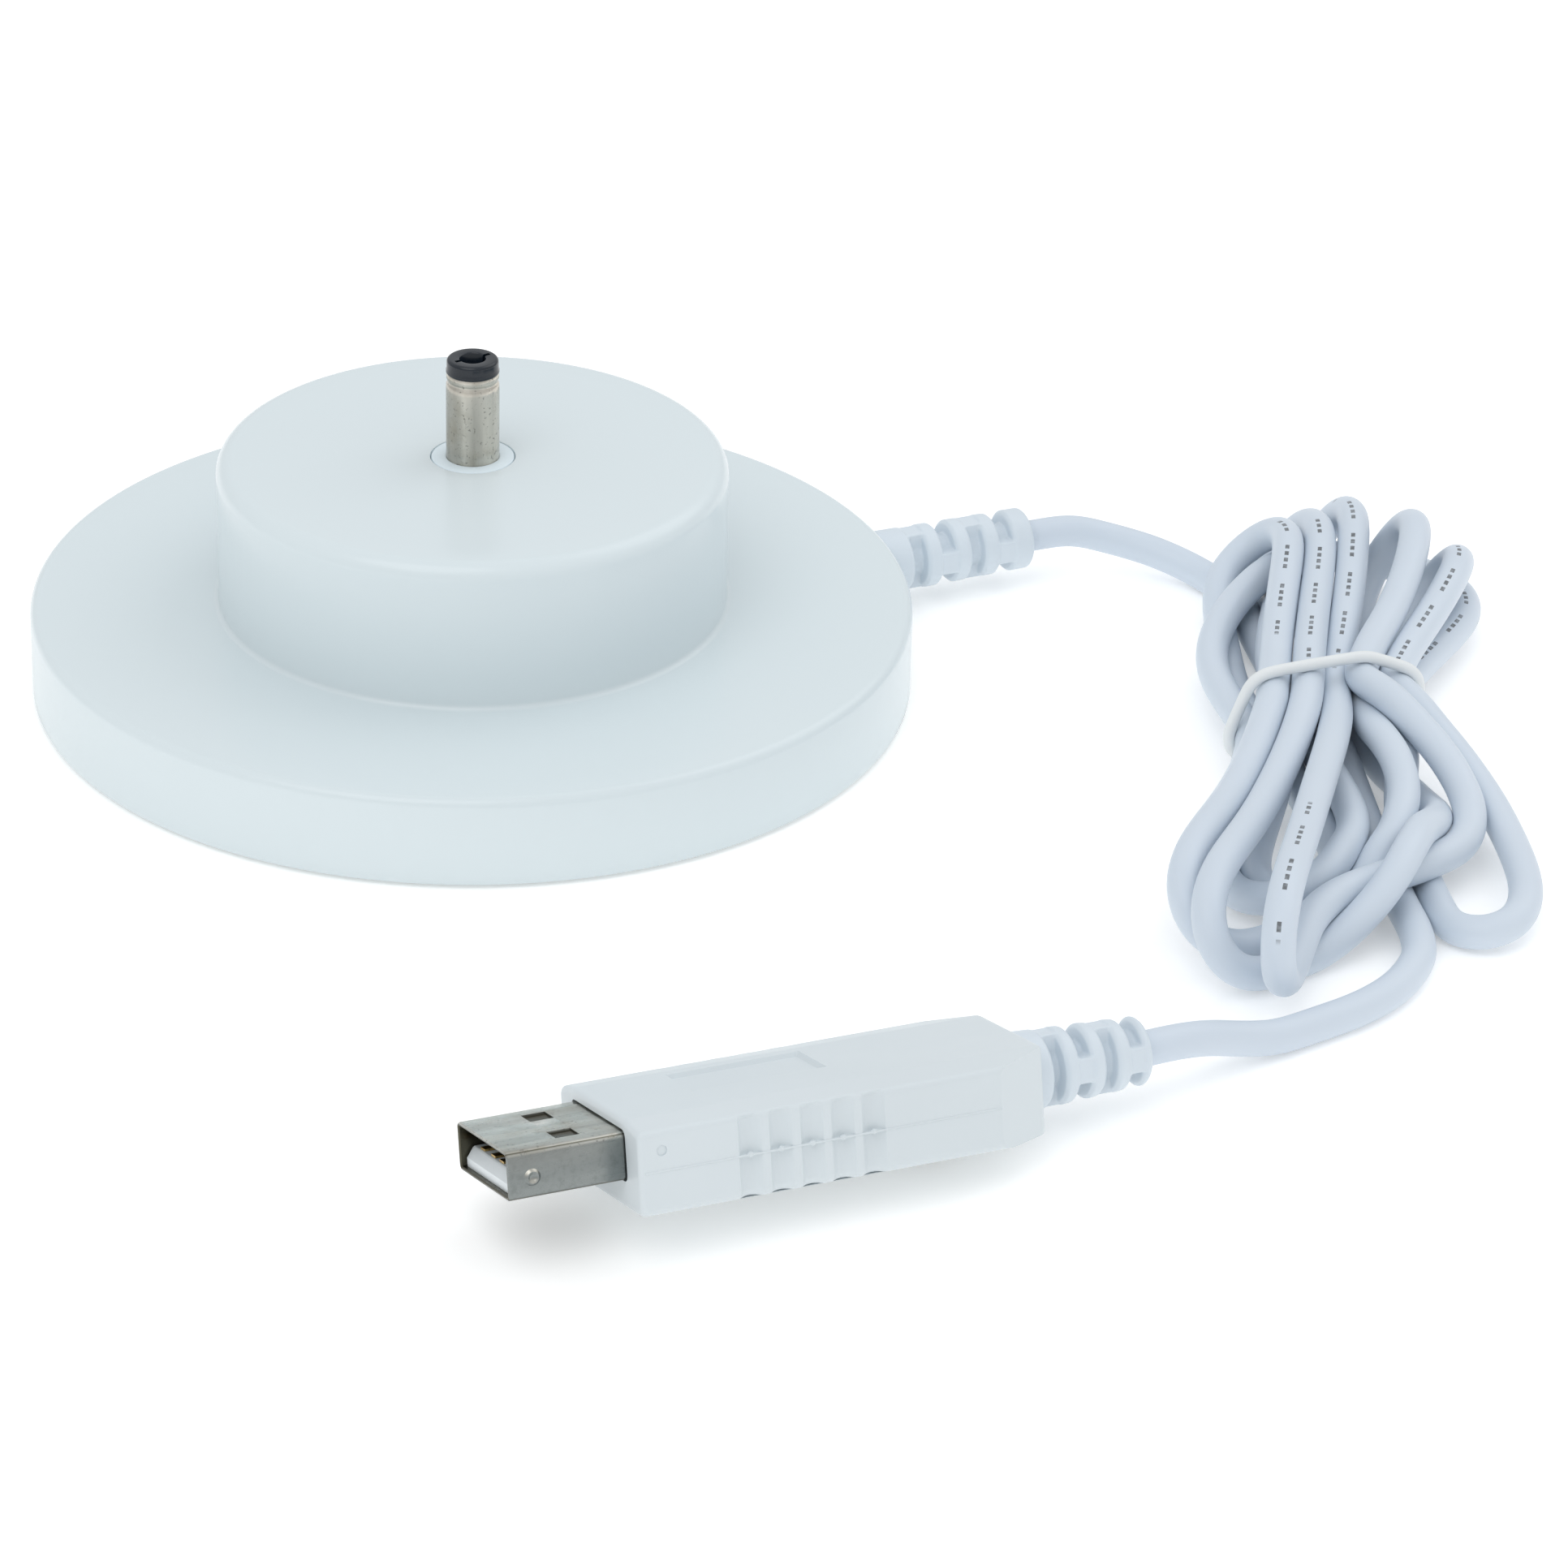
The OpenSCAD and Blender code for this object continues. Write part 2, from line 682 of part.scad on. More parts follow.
module housing_bottom() {
    color(plug_white) on_plug() intersection() {
        housing();
        translate([-1, -housing_w, parting_z - housing_w]) cube([housing_len + 2, 2 * housing_w, housing_w]);
    }
}

module housing_screw() {
    color(nickel) on_plug() translate([housing_screw_x, 0, housing_low_z + gap])
        screw(small_screw_r - gap / 2, small_head_r, small_head_t, housing_screw_len);
}

module plug_relief() {
    color(plug_white) on_plug() {
        along_x(housing_len, 0, plug_relief_z) ribbed_sleeve(plug_relief_len, plug_relief_d,
            relief_end_d, plug_first_slot, plug_slot_pitch, plug_slot_w);
        along_x(housing_len - relief_inside_len, 0, plug_relief_z) difference() {
            union() {
                cylinder(d = relief_neck_d, h = relief_inside_len, $fn = 48);
                cylinder(d = relief_ring_d, h = relief_ring_t, $fn = 48);
            }
            translate([0, 0, -1]) cylinder(d = cord_d, h = relief_inside_len + 2);
        }
    }
}

module plug_cord_end() {
    color(cord_white) on_plug() along_x(housing_len - relief_inside_len, 0, plug_relief_z)
        cylinder(d = cord_d, h = plug_relief_len + relief_inside_len);
}

module converter_board() {
    color("seagreen") on_plug() translate([board_x, -board_w / 2, board_z])
        cube([board_len, board_w, board_t]);
}

// a block on the board, its corner at x, y
module on_board(x, y, size, lift = 0) {
    on_plug() translate([x, y, board_top + lift]) cube(size);
}

module inductor() {
    color("dimgray") on_plug() translate([inductor_at[0], inductor_at[1], board_top]) {
        cylinder(r = inductor_r, h = inductor_flange_t, $fn = 48);
        cylinder(r = inductor_core_r, h = inductor_h, $fn = 48);
        translate([0, 0, inductor_h - inductor_flange_t])
            cylinder(r = inductor_r, h = inductor_flange_t, $fn = 48);
    }
}

module converter_chip() {
    color("black") {
        on_board(chip_at[0], chip_at[1], chip_size, gap);
        for (i = [0:2], y = [-0.7, chip_size[1]])
            on_board(chip_at[0] + 0.2 + i * chip_pin_pitch, chip_at[1] + y, chip_pin_size);
    }
}

module rectifier_diode() {
    color("black") {
        on_board(diode_at[0], diode_at[1], diode_size, gap);
        for (x = [-0.6, diode_size[0] - 0.2]) on_board(diode_at[0] + x, diode_at[1] + 0.6, diode_tab_size);
    }
}

module capacitors() {
    color("tan") for (p = capacitor_at) on_board(p[0], p[1], capacitor_size);
}

module resistors() {
    color("black") for (p = resistor_at) on_board(p[0], p[1], resistor_size);
}

module output_wire(side) {
    on_plug() swept([for (p = output_route) [p[0], side * p[1], p[2]]], output_wire_d);
}

module red_output_wire() {
    color("firebrick") output_wire(1);
}

module black_output_wire() {
    color("black") output_wire(-1);
}

upper_shell();
base_plate();
ballast_plate();
foot_pads();
cover_screws();
plug_collar();
plug_sleeve();
plug_tip();
inner_insulator();
centre_contact();
plug_retainer();
retainer_screws();
cord_relief();
cord_clamp();
clamp_screws();
inner_cord();
red_wire();
black_wire();
cord_lead();
cord_hank();
cord_tie();
cord_tail();
usb_shell();
usb_insulator();
usb_contacts();
housing_top();
housing_bottom();
housing_screw();
plug_relief();
plug_cord_end();
converter_board();
inductor();
converter_chip();
rectifier_diode();
capacitors();
resistors();
red_output_wire();
black_output_wire();
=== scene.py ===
import json
import math

import bmesh
import bpy
import numpy as np
from mathutils import Matrix, Vector


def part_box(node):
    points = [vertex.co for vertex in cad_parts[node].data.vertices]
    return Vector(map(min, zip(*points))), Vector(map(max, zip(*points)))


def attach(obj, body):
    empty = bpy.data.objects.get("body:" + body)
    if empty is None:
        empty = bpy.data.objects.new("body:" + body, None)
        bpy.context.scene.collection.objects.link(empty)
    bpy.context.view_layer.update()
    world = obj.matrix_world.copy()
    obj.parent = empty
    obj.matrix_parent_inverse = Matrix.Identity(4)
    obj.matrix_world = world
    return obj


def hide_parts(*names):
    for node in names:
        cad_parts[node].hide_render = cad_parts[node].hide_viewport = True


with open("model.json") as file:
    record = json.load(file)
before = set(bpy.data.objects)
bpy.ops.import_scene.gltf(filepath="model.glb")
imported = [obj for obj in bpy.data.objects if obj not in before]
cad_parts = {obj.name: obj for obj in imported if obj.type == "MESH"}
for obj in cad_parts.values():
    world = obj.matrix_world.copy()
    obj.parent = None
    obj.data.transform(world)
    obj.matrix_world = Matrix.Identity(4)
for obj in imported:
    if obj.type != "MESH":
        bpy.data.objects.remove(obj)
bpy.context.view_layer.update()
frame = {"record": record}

MM = 0.001
TAU = 2 * math.pi
ALL = "root"

# ---------------------------------------------------------------- sizes, in metres
BASE_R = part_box("upper_shell")[1][0]
DECK_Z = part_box("upper_shell")[1][2]
FOOT_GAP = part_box("upper_shell")[0][2]
PLUG_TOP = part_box("plug_tip")[1][2]
SLEEVE_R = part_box("plug_tip")[1][0]
CORD_D = 3.4 * MM
CORD_Z = 5 * MM
BASE_RELIEF_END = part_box("cord_relief")[1][0]

# the USB plug's place, in metres, and its turn
PLUG = (Matrix.Translation((-0.0292, -0.1036, 0.0083)) @ Matrix.Rotation(math.radians(1.9), 4, "Y")
        @ Matrix.Rotation(math.radians(-15), 4, "X"))
# its housing's length, and the length and height of the strain relief behind that, in millimetres
BODY_LEN = 41.3
PLUG_RELIEF_LEN = 12.9
PLUG_RELIEF_Z = -0.84

# ---------------------------------------------------------------- camera
CAMERA_AT = (-0.2113, -0.5312, 0.2917)
CAMERA_TURN = 25.0
CAMERA_DOWN = 27.997
CAMERA_ROLL = 1.446
CAMERA_LENS = 139.75


def make_camera():
    turn, down, roll = (math.radians(a) for a in (CAMERA_TURN, CAMERA_DOWN, CAMERA_ROLL))
    forward = Vector((math.sin(turn) * math.cos(down), math.cos(turn) * math.cos(down), -math.sin(down)))
    right = Vector((math.cos(turn), -math.sin(turn), 0))
    up = right.cross(forward)
    x = math.cos(roll) * right + math.sin(roll) * up
    y = math.cos(roll) * up - math.sin(roll) * right
    data = bpy.data.cameras.new("camera")
    data.lens = CAMERA_LENS
    data.sensor_width = 36
    data.clip_start = 0.01
    camera = bpy.data.objects.new("camera", data)
    camera.matrix_world = Matrix.Translation(CAMERA_AT) @ Matrix((x, y, -forward)).transposed().to_4x4()
    bpy.context.scene.collection.objects.link(camera)
    bpy.context.scene.camera = camera


make_camera()


# ---------------------------------------------------------------- mesh helpers
def link(obj):
    bpy.context.scene.collection.objects.link(obj)
    return obj


def mesh_object(name, verts, faces, sharp=40, matrix=None):
    mesh = bpy.data.meshes.new(name)
    mesh.from_pydata([tuple(v) for v in verts], [], [tuple(f) for f in faces])
    bm = bmesh.new()
    bm.from_mesh(mesh)
    bmesh.ops.remove_doubles(bm, verts=bm.verts, dist=1e-7)
    bmesh.ops.recalc_face_normals(bm, faces=bm.faces)
    if matrix is not None:
        bm.transform(matrix)
    bm.to_mesh(mesh)
    bm.free()
    smooth(mesh, sharp)
    return link(bpy.data.objects.new(name, mesh))


def smooth(mesh, sharp=40):
    mesh.polygons.foreach_set("use_smooth", [True] * len(mesh.polygons))
    mesh.set_sharp_from_angle(angle=math.radians(sharp))


def bake_modifiers(obj, sharp):
    """Turn the object's modifiers into its mesh."""
    graph = bpy.context.evaluated_depsgraph_get()
    graph.update()
    mesh = bpy.data.meshes.new_from_object(obj.evaluated_get(graph))
    old = obj.data
    obj.modifiers.clear()
    obj.data = mesh
    bpy.data.meshes.remove(old)
    smooth(mesh, sharp)
    return obj


def cut_out(obj, cutters, sharp):
    """Take the cutters' shapes out of an object, and delete the cutters."""
    for cutter in cutters:
        mod = obj.modifiers.new("cut", "BOOLEAN")
        mod.operation = "DIFFERENCE"
        mod.solver = "EXACT"
        mod.object = cutter
    bake_modifiers(obj, sharp)
    for cutter in cutters:
        mesh = cutter.data
        bpy.data.objects.remove(cutter)
        bpy.data.meshes.remove(mesh)
    return obj


def remeshed(obj, voxel, relax):
    """One skin round all of an object's closed shells, with softened edges."""
    mod = obj.modifiers.new("skin", "REMESH")
    mod.mode = "VOXEL"
    mod.voxel_size = voxel
    mod = obj.modifiers.new("soften", "SMOOTH")
    mod.factor = 0.5
    mod.iterations = relax
    return bake_modifiers(obj, 180)


def lathe(name, profile, n=128, closed=True, sharp=40, matrix=None):
    """Turn a profile of (radius, height) points about Z. A closed profile is a ring's cross-section."""
    profile = np.array(profile, float)
    a = np.arange(n) * TAU / n
    verts = np.stack([np.outer(np.cos(a), profile[:, 0]), np.outer(np.sin(a), profile[:, 0]),
                      np.tile(profile[:, 1], (n, 1))], axis=2).reshape(-1, 3)
    m = len(profile)
    faces = []
    for i in range(n):
        for k in range(m if closed else m - 1):
            p, q = i * m, (i + 1) % n * m
            faces.append((p + k, q + k, q + (k + 1) % m, p + (k + 1) % m))
    return mesh_object(name, verts, faces, sharp, matrix)


def cylinder(name, r, length, n, matrix):
    """A closed round bar that starts at the matrix's place and runs along its Z."""
    return lathe(name, [(0, 0), (r, 0), (r, length), (0, length)], n, closed=False, matrix=matrix)


def arc(cx, cy, r, a, b, n):
    """Points round a circle from angle a to angle b, in degrees."""
    return [(cx + r * math.cos(math.radians(a + (b - a) * i / n)),
             cy + r * math.sin(math.radians(a + (b - a) * i / n))) for i in range(n + 1)]


def box_mesh(name, low, high, matrix=None):
    x0, y0, z0 = low
    x1, y1, z1 = high
    verts = [(x, y, z) for x in (x0, x1) for y in (y0, y1) for z in (z0, z1)]
    faces = [(0, 1, 3, 2), (4, 6, 7, 5), (0, 4, 5, 1), (2, 3, 7, 6), (0, 2, 6, 4), (1, 5, 7, 3)]
    return mesh_object(name, verts, faces, 30, matrix)


def loft(name, rings, sharp=40, matrix=None):
    """A closed skin over rings of points, all with the same count, with a flat face on each end."""
    count = len(rings[0])
    verts = np.concatenate([np.asarray(r, float) for r in rings])
    faces = [tuple(range(count))[::-1], tuple((len(rings) - 1) * count + k for k in range(count))]
    for i in range(len(rings) - 1):
        for k in range(count):
            j = (k + 1) % count
            faces.append((i * count + k, i * count + j, (i + 1) * count + j, (i + 1) * count + k))
    return mesh_object(name, verts, faces, sharp, matrix)


def frames_along(points, closed=False):
    """Directions along a line, and side and up vectors that turn with it without twisting."""
    points = np.asarray(points, float)
    if closed:
        t = np.roll(points, -1, 0) - np.roll(points, 1, 0)
    else:
        t = np.gradient(points, axis=0)
    t /= np.linalg.norm(t, axis=1)[:, None]
    side = np.zeros_like(t)
    seed = np.cross(t[0], (0.1, 0.2, 0.97))
    side[0] = seed / np.linalg.norm(seed)
    for i in range(1, len(t)):
        s = side[i - 1] - t[i] * (side[i - 1] @ t[i])
        side[i] = s / np.linalg.norm(s)
    return t, side, np.cross(t, side)


def tube(name, points, radius, sides, closed=False, sharp=60, matrix=None):
    """A round tube along a line. radius may be one value, or one for each point."""
    points = np.asarray(points, float)
    t, side, up = frames_along(points, closed)
    if closed:
        turn = math.atan2(side[0] @ up[-1], side[0] @ side[-1])
        twist = np.linspace(0, -turn, len(points))
    else:
        twist = np.zeros(len(points))
    radius = np.broadcast_to(np.asarray(radius, float), (len(points),))
    a = np.arange(sides) * TAU / sides
    rings = [p + r * (np.outer(np.cos(a + w), s) + np.outer(np.sin(a + w), u))
             for p, r, s, u, w in zip(points, radius, side, up, twist)]
    if not closed:
        return loft(name, rings, sharp, matrix)
    verts = np.concatenate(rings)
    n = len(rings)
    faces = [(i * sides + k, i * sides + (k + 1) % sides,
              (i + 1) % n * sides + (k + 1) % sides, (i + 1) % n * sides + k)
             for i in range(n) for k in range(sides)]
    return mesh_object(name, verts, faces, sharp, matrix)


def soften_edges(obj, width, over, sharp):
    """Bevel each edge that turns by more than over, in degrees."""
    bevel = obj.modifiers.new("soft", "BEVEL")
    bevel.width = width
    bevel.segments = 2
    bevel.limit_method = "ANGLE"
    bevel.angle_limit = math.radians(over)
    return bake_modifiers(obj, sharp)


def joined(name, objects, sharp=40):
    """One object from the meshes of several."""
    bm = bmesh.new()
    for obj in objects:
        bm.from_mesh(obj.data)
    mesh = bpy.data.meshes.new(name)
    bm.to_mesh(mesh)
    bm.free()
    for obj in objects:
        old = obj.data
        bpy.data.objects.remove(obj)
        bpy.data.meshes.remove(old)
    smooth(mesh, sharp)
    return link(bpy.data.objects.new(name, mesh))


def along_x(x, y=0.0, z=0.0):
    """Turns +Z to +X and moves to x, y, z."""
    return Matrix.Translation((x, y, z)) @ Matrix.Rotation(math.pi / 2, 4, "Y")


# ---------------------------------------------------------------- the cord's route, in metres
LEAD = [(0.0654, 0, 0.005), (0.070, -0.0005, 0.005), (0.074, -0.002, 0.004), (0.078, -0.005, 0.003),
        (0.081, -0.009, 0.002), (0.082, -0.013, 0.0017), (0.082, -0.0175, 0.0017), (0.0815, -0.022, 0.0017)]
TAIL = [(0.0655, -0.087, 0.0017), (0.063, -0.0905, 0.0017), (0.060, -0.094, 0.0017), (0.056, -0.097, 0.0017),
        (0.051, -0.099, 0.0017), (0.046, -0.100, 0.0017), (0.041, -0.101, 0.002), (0.037, -0.1015, 0.003),
        (0.033, -0.1025, 0.0045), (0.029, -0.1035, 0.0055),
        tuple(PLUG @ Vector(((BODY_LEN + PLUG_RELIEF_LEN) * MM, 0, PLUG_RELIEF_Z * MM)))]
# Lengths from here to loop_points are in millimetres. Over the two lengths in HELD the cord's ends keep to
# their routes. The rest settles: it aims at bends no tighter than TIGHTEST, and at strands that lie SPACING
# diameters apart.
HELD = (22, 42)
TIGHTEST = 4.3
SPACING = 1.03
# the middle of the waist, and how the hank and the tie are turned
HANK_AT = (73.5, -51.0)
HANK_TURN = math.radians(-26)
TIE_TURN = math.radians(20)
TIE_D = 1.25
# the space inside the tie: its half width and half height, and how high its middle is
WAIST_HALF = (10.5, 5.1)
WAIST_Z = 6.2

# The cord's passes through the tie, in order: how far across the waist, and how high
PASSES = [(-3, 2.5), (-8, 6), (8.5, 5), (8, 8.5), (4.5, 2.5), (-1.5, 9.5), (-4.5, 5.5), (-6.5, 3), (-5, 9),
          (4.5, 6), (5, 9.5), (2, 9.5), (1, 3)]
# The loops between those passes. far is 1 for the far end and -1 for the near end. reach and lean (degrees
# towards +x) place the fold, fold is how far its legs stand apart sideways, and the bulges push each leg
# sideways, as far along it as swell_to. The two heights are those of the leg out and the leg back, and the
# fold between them is a tilted half circle.
#        far reach lean fold out_bulge back_bulge out_z back_z swell_to
LOOPS = [(-1, 36, -10, -8.4, 5, 0, 2, 3, 1),
         (1, 43, 13, 21, -6, -2, 5, 5, 1),
         (-1, 40.5, 21, 8.4, 0, 4, 1.7, 4, 1),
         (1, 39, 23, -4, 0, 0, 8.5, 2, 1),
         (-1, 51, -13.5, -3, 12, 0, 2, 9, 1),
         (1, 42.5, -2.5, -4.5, 0, -1, 9.5, 3, 1),
         (-1, 32, -8, 8.4, 0, 2, 2, 1.7, 1),
         (1, 38.5, -8, 4, -2, 0, 2.5, 9.5, 1),
         (-1, 46, -18, 3, 0, 12, 8.5, 2, 1),
         (1, 42, 13, 4.5, 0, 1, 3, 10.5, 1),
         (-1, 54.5, -7, -0.5, 13, 0, 2, 11, 0.8),
         (1, 46, 3, -4.5, 0, 0, 9.5, 3, 1)]
# the cord's way from its lead into the first pass, and from the last pass out to its tail
ENTRY = [(-5, 26, 1.7), (-3.5, 18, 1.7), (-3, 9, 2)]
LEAVING = [(2, -9, 1.8), (4, -19, 1.7), (6, -28, 1.7)]
# The loops whose print shows, by number, and from where to where along the loop, from 0 to 1
PRINT_ON = {1: (0.62, 0.97), 3: (0.02, 0.42), 5: (0.04, 0.42),
            7: (0.6, 0.9), 10: (0.56, 0.74), 11: (0.04, 0.45)}
LEG_STEPS = (0.25, 0.5, 0.75, 0.9)
FOLD_STEPS = 4


def loop_points(start, end, far, reach, lean, fold, out_bulge, back_bulge, out_z, back_z, swell_to):
    """A loop of the hank: a leg out from one pass through the tie, a round fold, a leg back to the next."""
    lean = math.radians(lean)
    ahead = np.array((math.sin(lean), far * math.cos(lean), 0))
    aside = np.array((math.cos(lean), -far * math.sin(lean), 0))
    half = fold / 2
    radius = math.hypot(fold, back_z - out_z) / 2
    root = ahead * (reach - radius)

    def leg(t, slot, foot, bulge, z):
        swell = bulge * math.sin(math.pi * min(1, t / swell_to))
        point = (1 - t) * slot + t * (root + foot * aside) + swell * aside
        point[2] = slot[2] + (z - slot[2]) * min(1, 2 * t)
        return point
    out = [leg(t, start, -half, out_bulge, out_z) for t in LEG_STEPS]
    for k in range(FOLD_STEPS + 1):
        a = math.pi * k / FOLD_STEPS
        point = root + ahead * radius * math.sin(a) - aside * half * math.cos(a)
        point[2] = out_z + (back_z - out_z) * (1 - math.cos(a)) / 2
        out.append(point)
    return out + [leg(t, end, half, back_bulge, back_z) for t in LEG_STEPS[::-1]]


def to_hank(points):
    """From the row frame in metres to the hank's own frame in millimetres."""
    p = np.asarray(points, float) / MM
    c, s = math.cos(HANK_TURN), math.sin(HANK_TURN)
    x, y = p[:, 0] - HANK_AT[0], p[:, 1] - HANK_AT[1]
    return np.column_stack([c * x + s * y, c * y - s * x, p[:, 2]])


def from_hank(points):
    """From the hank's own frame in millimetres to the row frame in metres."""
    p = np.asarray(points, float)
    c, s = math.cos(HANK_TURN), math.sin(HANK_TURN)
    return np.column_stack([HANK_AT[0] + c * p[:, 0] - s * p[:, 1],
                            HANK_AT[1] + s * p[:, 0] + c * p[:, 1], p[:, 2]]) * MM


def spline_through(points, per_span):
    """A smooth curve through all the points (centripetal Catmull-Rom)."""
    p = np.asarray(points, float)
    p = np.vstack([2 * p[0] - p[1], p, 2 * p[-1] - p[-2]])
    knots = np.concatenate([[0], np.cumsum(np.sqrt(np.linalg.norm(np.diff(p, axis=0), axis=1)))])
    out = []
    for i in range(1, len(p) - 2):
        t0, t1, t2, t3 = knots[i - 1:i + 3]
        t = np.linspace(t1, t2, per_span, endpoint=False)[:, None]
        a1 = (t1 - t) / (t1 - t0) * p[i - 1] + (t - t0) / (t1 - t0) * p[i]
        a2 = (t2 - t) / (t2 - t1) * p[i] + (t - t1) / (t2 - t1) * p[i + 1]
        a3 = (t3 - t) / (t3 - t2) * p[i + 1] + (t - t2) / (t3 - t2) * p[i + 2]
        b1 = (t2 - t) / (t2 - t0) * a1 + (t - t0) / (t2 - t0) * a2
        b2 = (t3 - t) / (t3 - t1) * a2 + (t - t1) / (t3 - t1) * a3
        out.append((t2 - t) / (t2 - t1) * b1 + (t - t1) / (t2 - t1) * b2)
    return np.vstack(out + [p[-2:-1]])


def distances(line):
    """How far along the line each of its points is."""
    return np.concatenate([[0], np.cumsum(np.linalg.norm(np.diff(line, axis=0), axis=1))])


def spaced(line, step):
    """The same line with evenly spaced points."""
    s = distances(line)
    at = np.linspace(0, s[-1], max(2, round(s[-1] / step)) + 1)
    return np.column_stack([np.interp(at, s, line[:, k]) for k in range(3)])


def settle(line, rounds, d, tightest):
    """Let a cord settle in small steps, at a fixed length, inside the tie and on the floor.

    Each round eases its bends, pulls it back towards its route, pushes apart strands
    that are too near, and opens bends that are too tight. The ends that HELD names stay where they are."""
    p = line.copy()
    goal = line.copy()
    n = len(p)
    step = np.linalg.norm(np.diff(p, axis=0), axis=1).mean()
    first, second = np.triu_indices(n, math.ceil(2.4 * d / step))
    free = np.ones(n)
    free[:round(HELD[0] / step)] = 0
    free[-round(HELD[1] / step):] = 0
    free = free[:, None]
    chord = 2 * step * math.cos(step / (2 * tightest))
    weight = 0.004
    follow = np.array((1, 1, 0.35))
    rounding = 2.6
    across = np.array([math.cos(TIE_TURN), math.sin(TIE_TURN)])
    through = np.array([-math.sin(TIE_TURN), math.cos(TIE_TURN)])
    for k in range(rounds):
        if k % 5 == 0:
            apart = p[first] - p[second]
            near = np.einsum("ij,ij->i", apart, apart) < (1.35 * d) ** 2
            i, j = first[near], second[near]
        p[:, 2] -= weight * free[:, 0]
        bend = np.zeros_like(p)
        bend[1:-1] = (p[:-2] + p[2:]) / 2 - p[1:-1]
        even = np.zeros_like(p)
        even[1:-1] = bend[1:-1] - (bend[:-2] + bend[2:]) / 2
        wide = np.zeros_like(p)
        wide[3:-3] = (p[:-6] + p[6:]) / 2 - p[3:-3]
        wide_even = np.zeros_like(p)
        wide_even[6:-6] = wide[6:-6] - (wide[3:-9] + wide[9:-3]) / 2
        p += (0.35 * even + 0.02 * bend + 0.03 * wide_even) * free
        pull = 0.02 if k < 0.7 * rounds else 0.008
        p += pull * (goal - p) * follow * free
        apart = p[i] - p[j]
        far = np.linalg.norm(apart, axis=1) + 1e-9
        push = (np.clip(SPACING * d - far, 0, None) / (2 * far))[:, None] * apart
        move = np.zeros_like(p)
        hits = np.zeros(n)
        np.add.at(move, i, push)
        np.add.at(move, j, -push)
        np.add.at(hits, i, far < SPACING * d)
        np.add.at(hits, j, far < SPACING * d)
        p += move / np.sqrt(np.maximum(1, hits))[:, None] * free
        for start in range(3):
            a = np.arange(start, n - 2, 3)
            span = p[a + 2] - p[a]
            far = np.linalg.norm(span, axis=1)
            open_up = (np.clip(chord - far, 0, None) / (2 * far))[:, None] * span
            p[a] -= open_up * free[a]
            p[a + 2] += open_up * free[a + 2]
        for start in range(2):
            a = np.arange(start, n - 1, 2)
            span = p[a + 1] - p[a]
            far = np.linalg.norm(span, axis=1)
            change = ((far - step) / far)[:, None] * span
            share = np.maximum(free[a] + free[a + 1], 1)
            p[a] += 0.9 * change * free[a] / share
            p[a + 1] -= 0.9 * change * free[a + 1] / share
        p[:, 2] = np.maximum(p[:, 2], d / 2)
        inside = np.abs(p[:, :2] @ through) < 2
        u = p[inside, :2] @ across / (WAIST_HALF[0] - d / 2)
        w = (p[inside, 2] - WAIST_Z) / (WAIST_HALF[1] - d / 2)
        over = np.maximum(1, (np.abs(u) ** rounding + np.abs(w) ** rounding) ** (1 / rounding))
        p[inside, 2] = WAIST_Z + (p[inside, 2] - WAIST_Z) / over
        p[inside, :2] += ((1 / over - 1) * (p[inside, :2] @ across))[:, None] * across
    return p


def make_cord_line():
    """The whole cord's centre line, in the hank's frame, and the stretch of it that each loop takes."""
    passes = [np.array((u, u * math.tan(TIE_TURN), z)) for u, z in PASSES]
    points = list(to_hank(LEAD)) + ENTRY
    marks = []
    for loop, start, end in zip(LOOPS, passes, passes[1:]):
        points.append(start)
        marks.append([len(points) - 1])
        points += loop_points(start, end, *loop)
        marks[-1].append(len(points))
    points += [passes[-1]] + LEAVING + list(to_hank(TAIL))
    per_span = 24
    rough = spline_through(points, per_span)
    s = distances(rough) / distances(rough)[-1]
    marks = [(s[a * per_span], s[b * per_span]) for a, b in marks]
    coarse = settle(spaced(rough, step=2.0), 700, CORD_D / MM, TIGHTEST)
    fine = spline_through(coarse, 3)
    for _ in range(3):
        fine[1:-1] = 0.5 * fine[1:-1] + 0.25 * (fine[:-2] + fine[2:])
    return fine, marks


CORD_HANK, MARKS = make_cord_line()
CORD_LINE = from_hank(CORD_HANK)
# the side of the cord that its print is on, and how far the cord starts inside the strain relief
PRINT_TOWARDS = np.array((-0.4, -0.6, 0.7))
TUCKED_IN = 2 * MM


def make_cord(sides=32):
    """The cord's skin. Its print_at holds the distance along it, the distance round it, and 1 for print."""
    line = np.vstack([CORD_LINE[:1] - (TUCKED_IN, 0, 0), CORD_LINE])
    t, side, up = frames_along(line)
    face = PRINT_TOWARDS - t * (t @ PRINT_TOWARDS)[:, None]
    face /= np.linalg.norm(face, axis=1)[:, None]
    a = np.arange(sides) * TAU / sides
    r = CORD_D / 2
    directions = np.cos(a)[None, :, None] * side[:, None] + np.sin(a)[None, :, None] * up[:, None]
    verts = line[:, None] + r * directions
    cord = loft("cord", list(verts), 60)
    s = distances(line)
    where = s / s[-1]
    shown = np.zeros(len(s))
    for number, (a0, a1) in PRINT_ON.items():
        low, high = MARKS[number]
        shown[(where > low + a0 * (high - low)) & (where < low + a1 * (high - low))] = 1
    across = np.einsum("ijk,ik->ij", directions, np.cross(t, face))
    facing = np.einsum("ijk,ik->ij", directions, face) > 0.5
    values = np.stack([np.broadcast_to(s[:, None], across.shape), across * r,
                       facing * shown[:, None]], axis=2).astype(np.float32)
    layer = cord.data.attributes.new("print_at", "FLOAT_VECTOR", "POINT")
    layer.data.foreach_set("vector", values.reshape(-1))
    return cord


cord = make_cord()
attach(cord, ALL)
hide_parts("cord_lead", "cord_hank", "cord_tail")


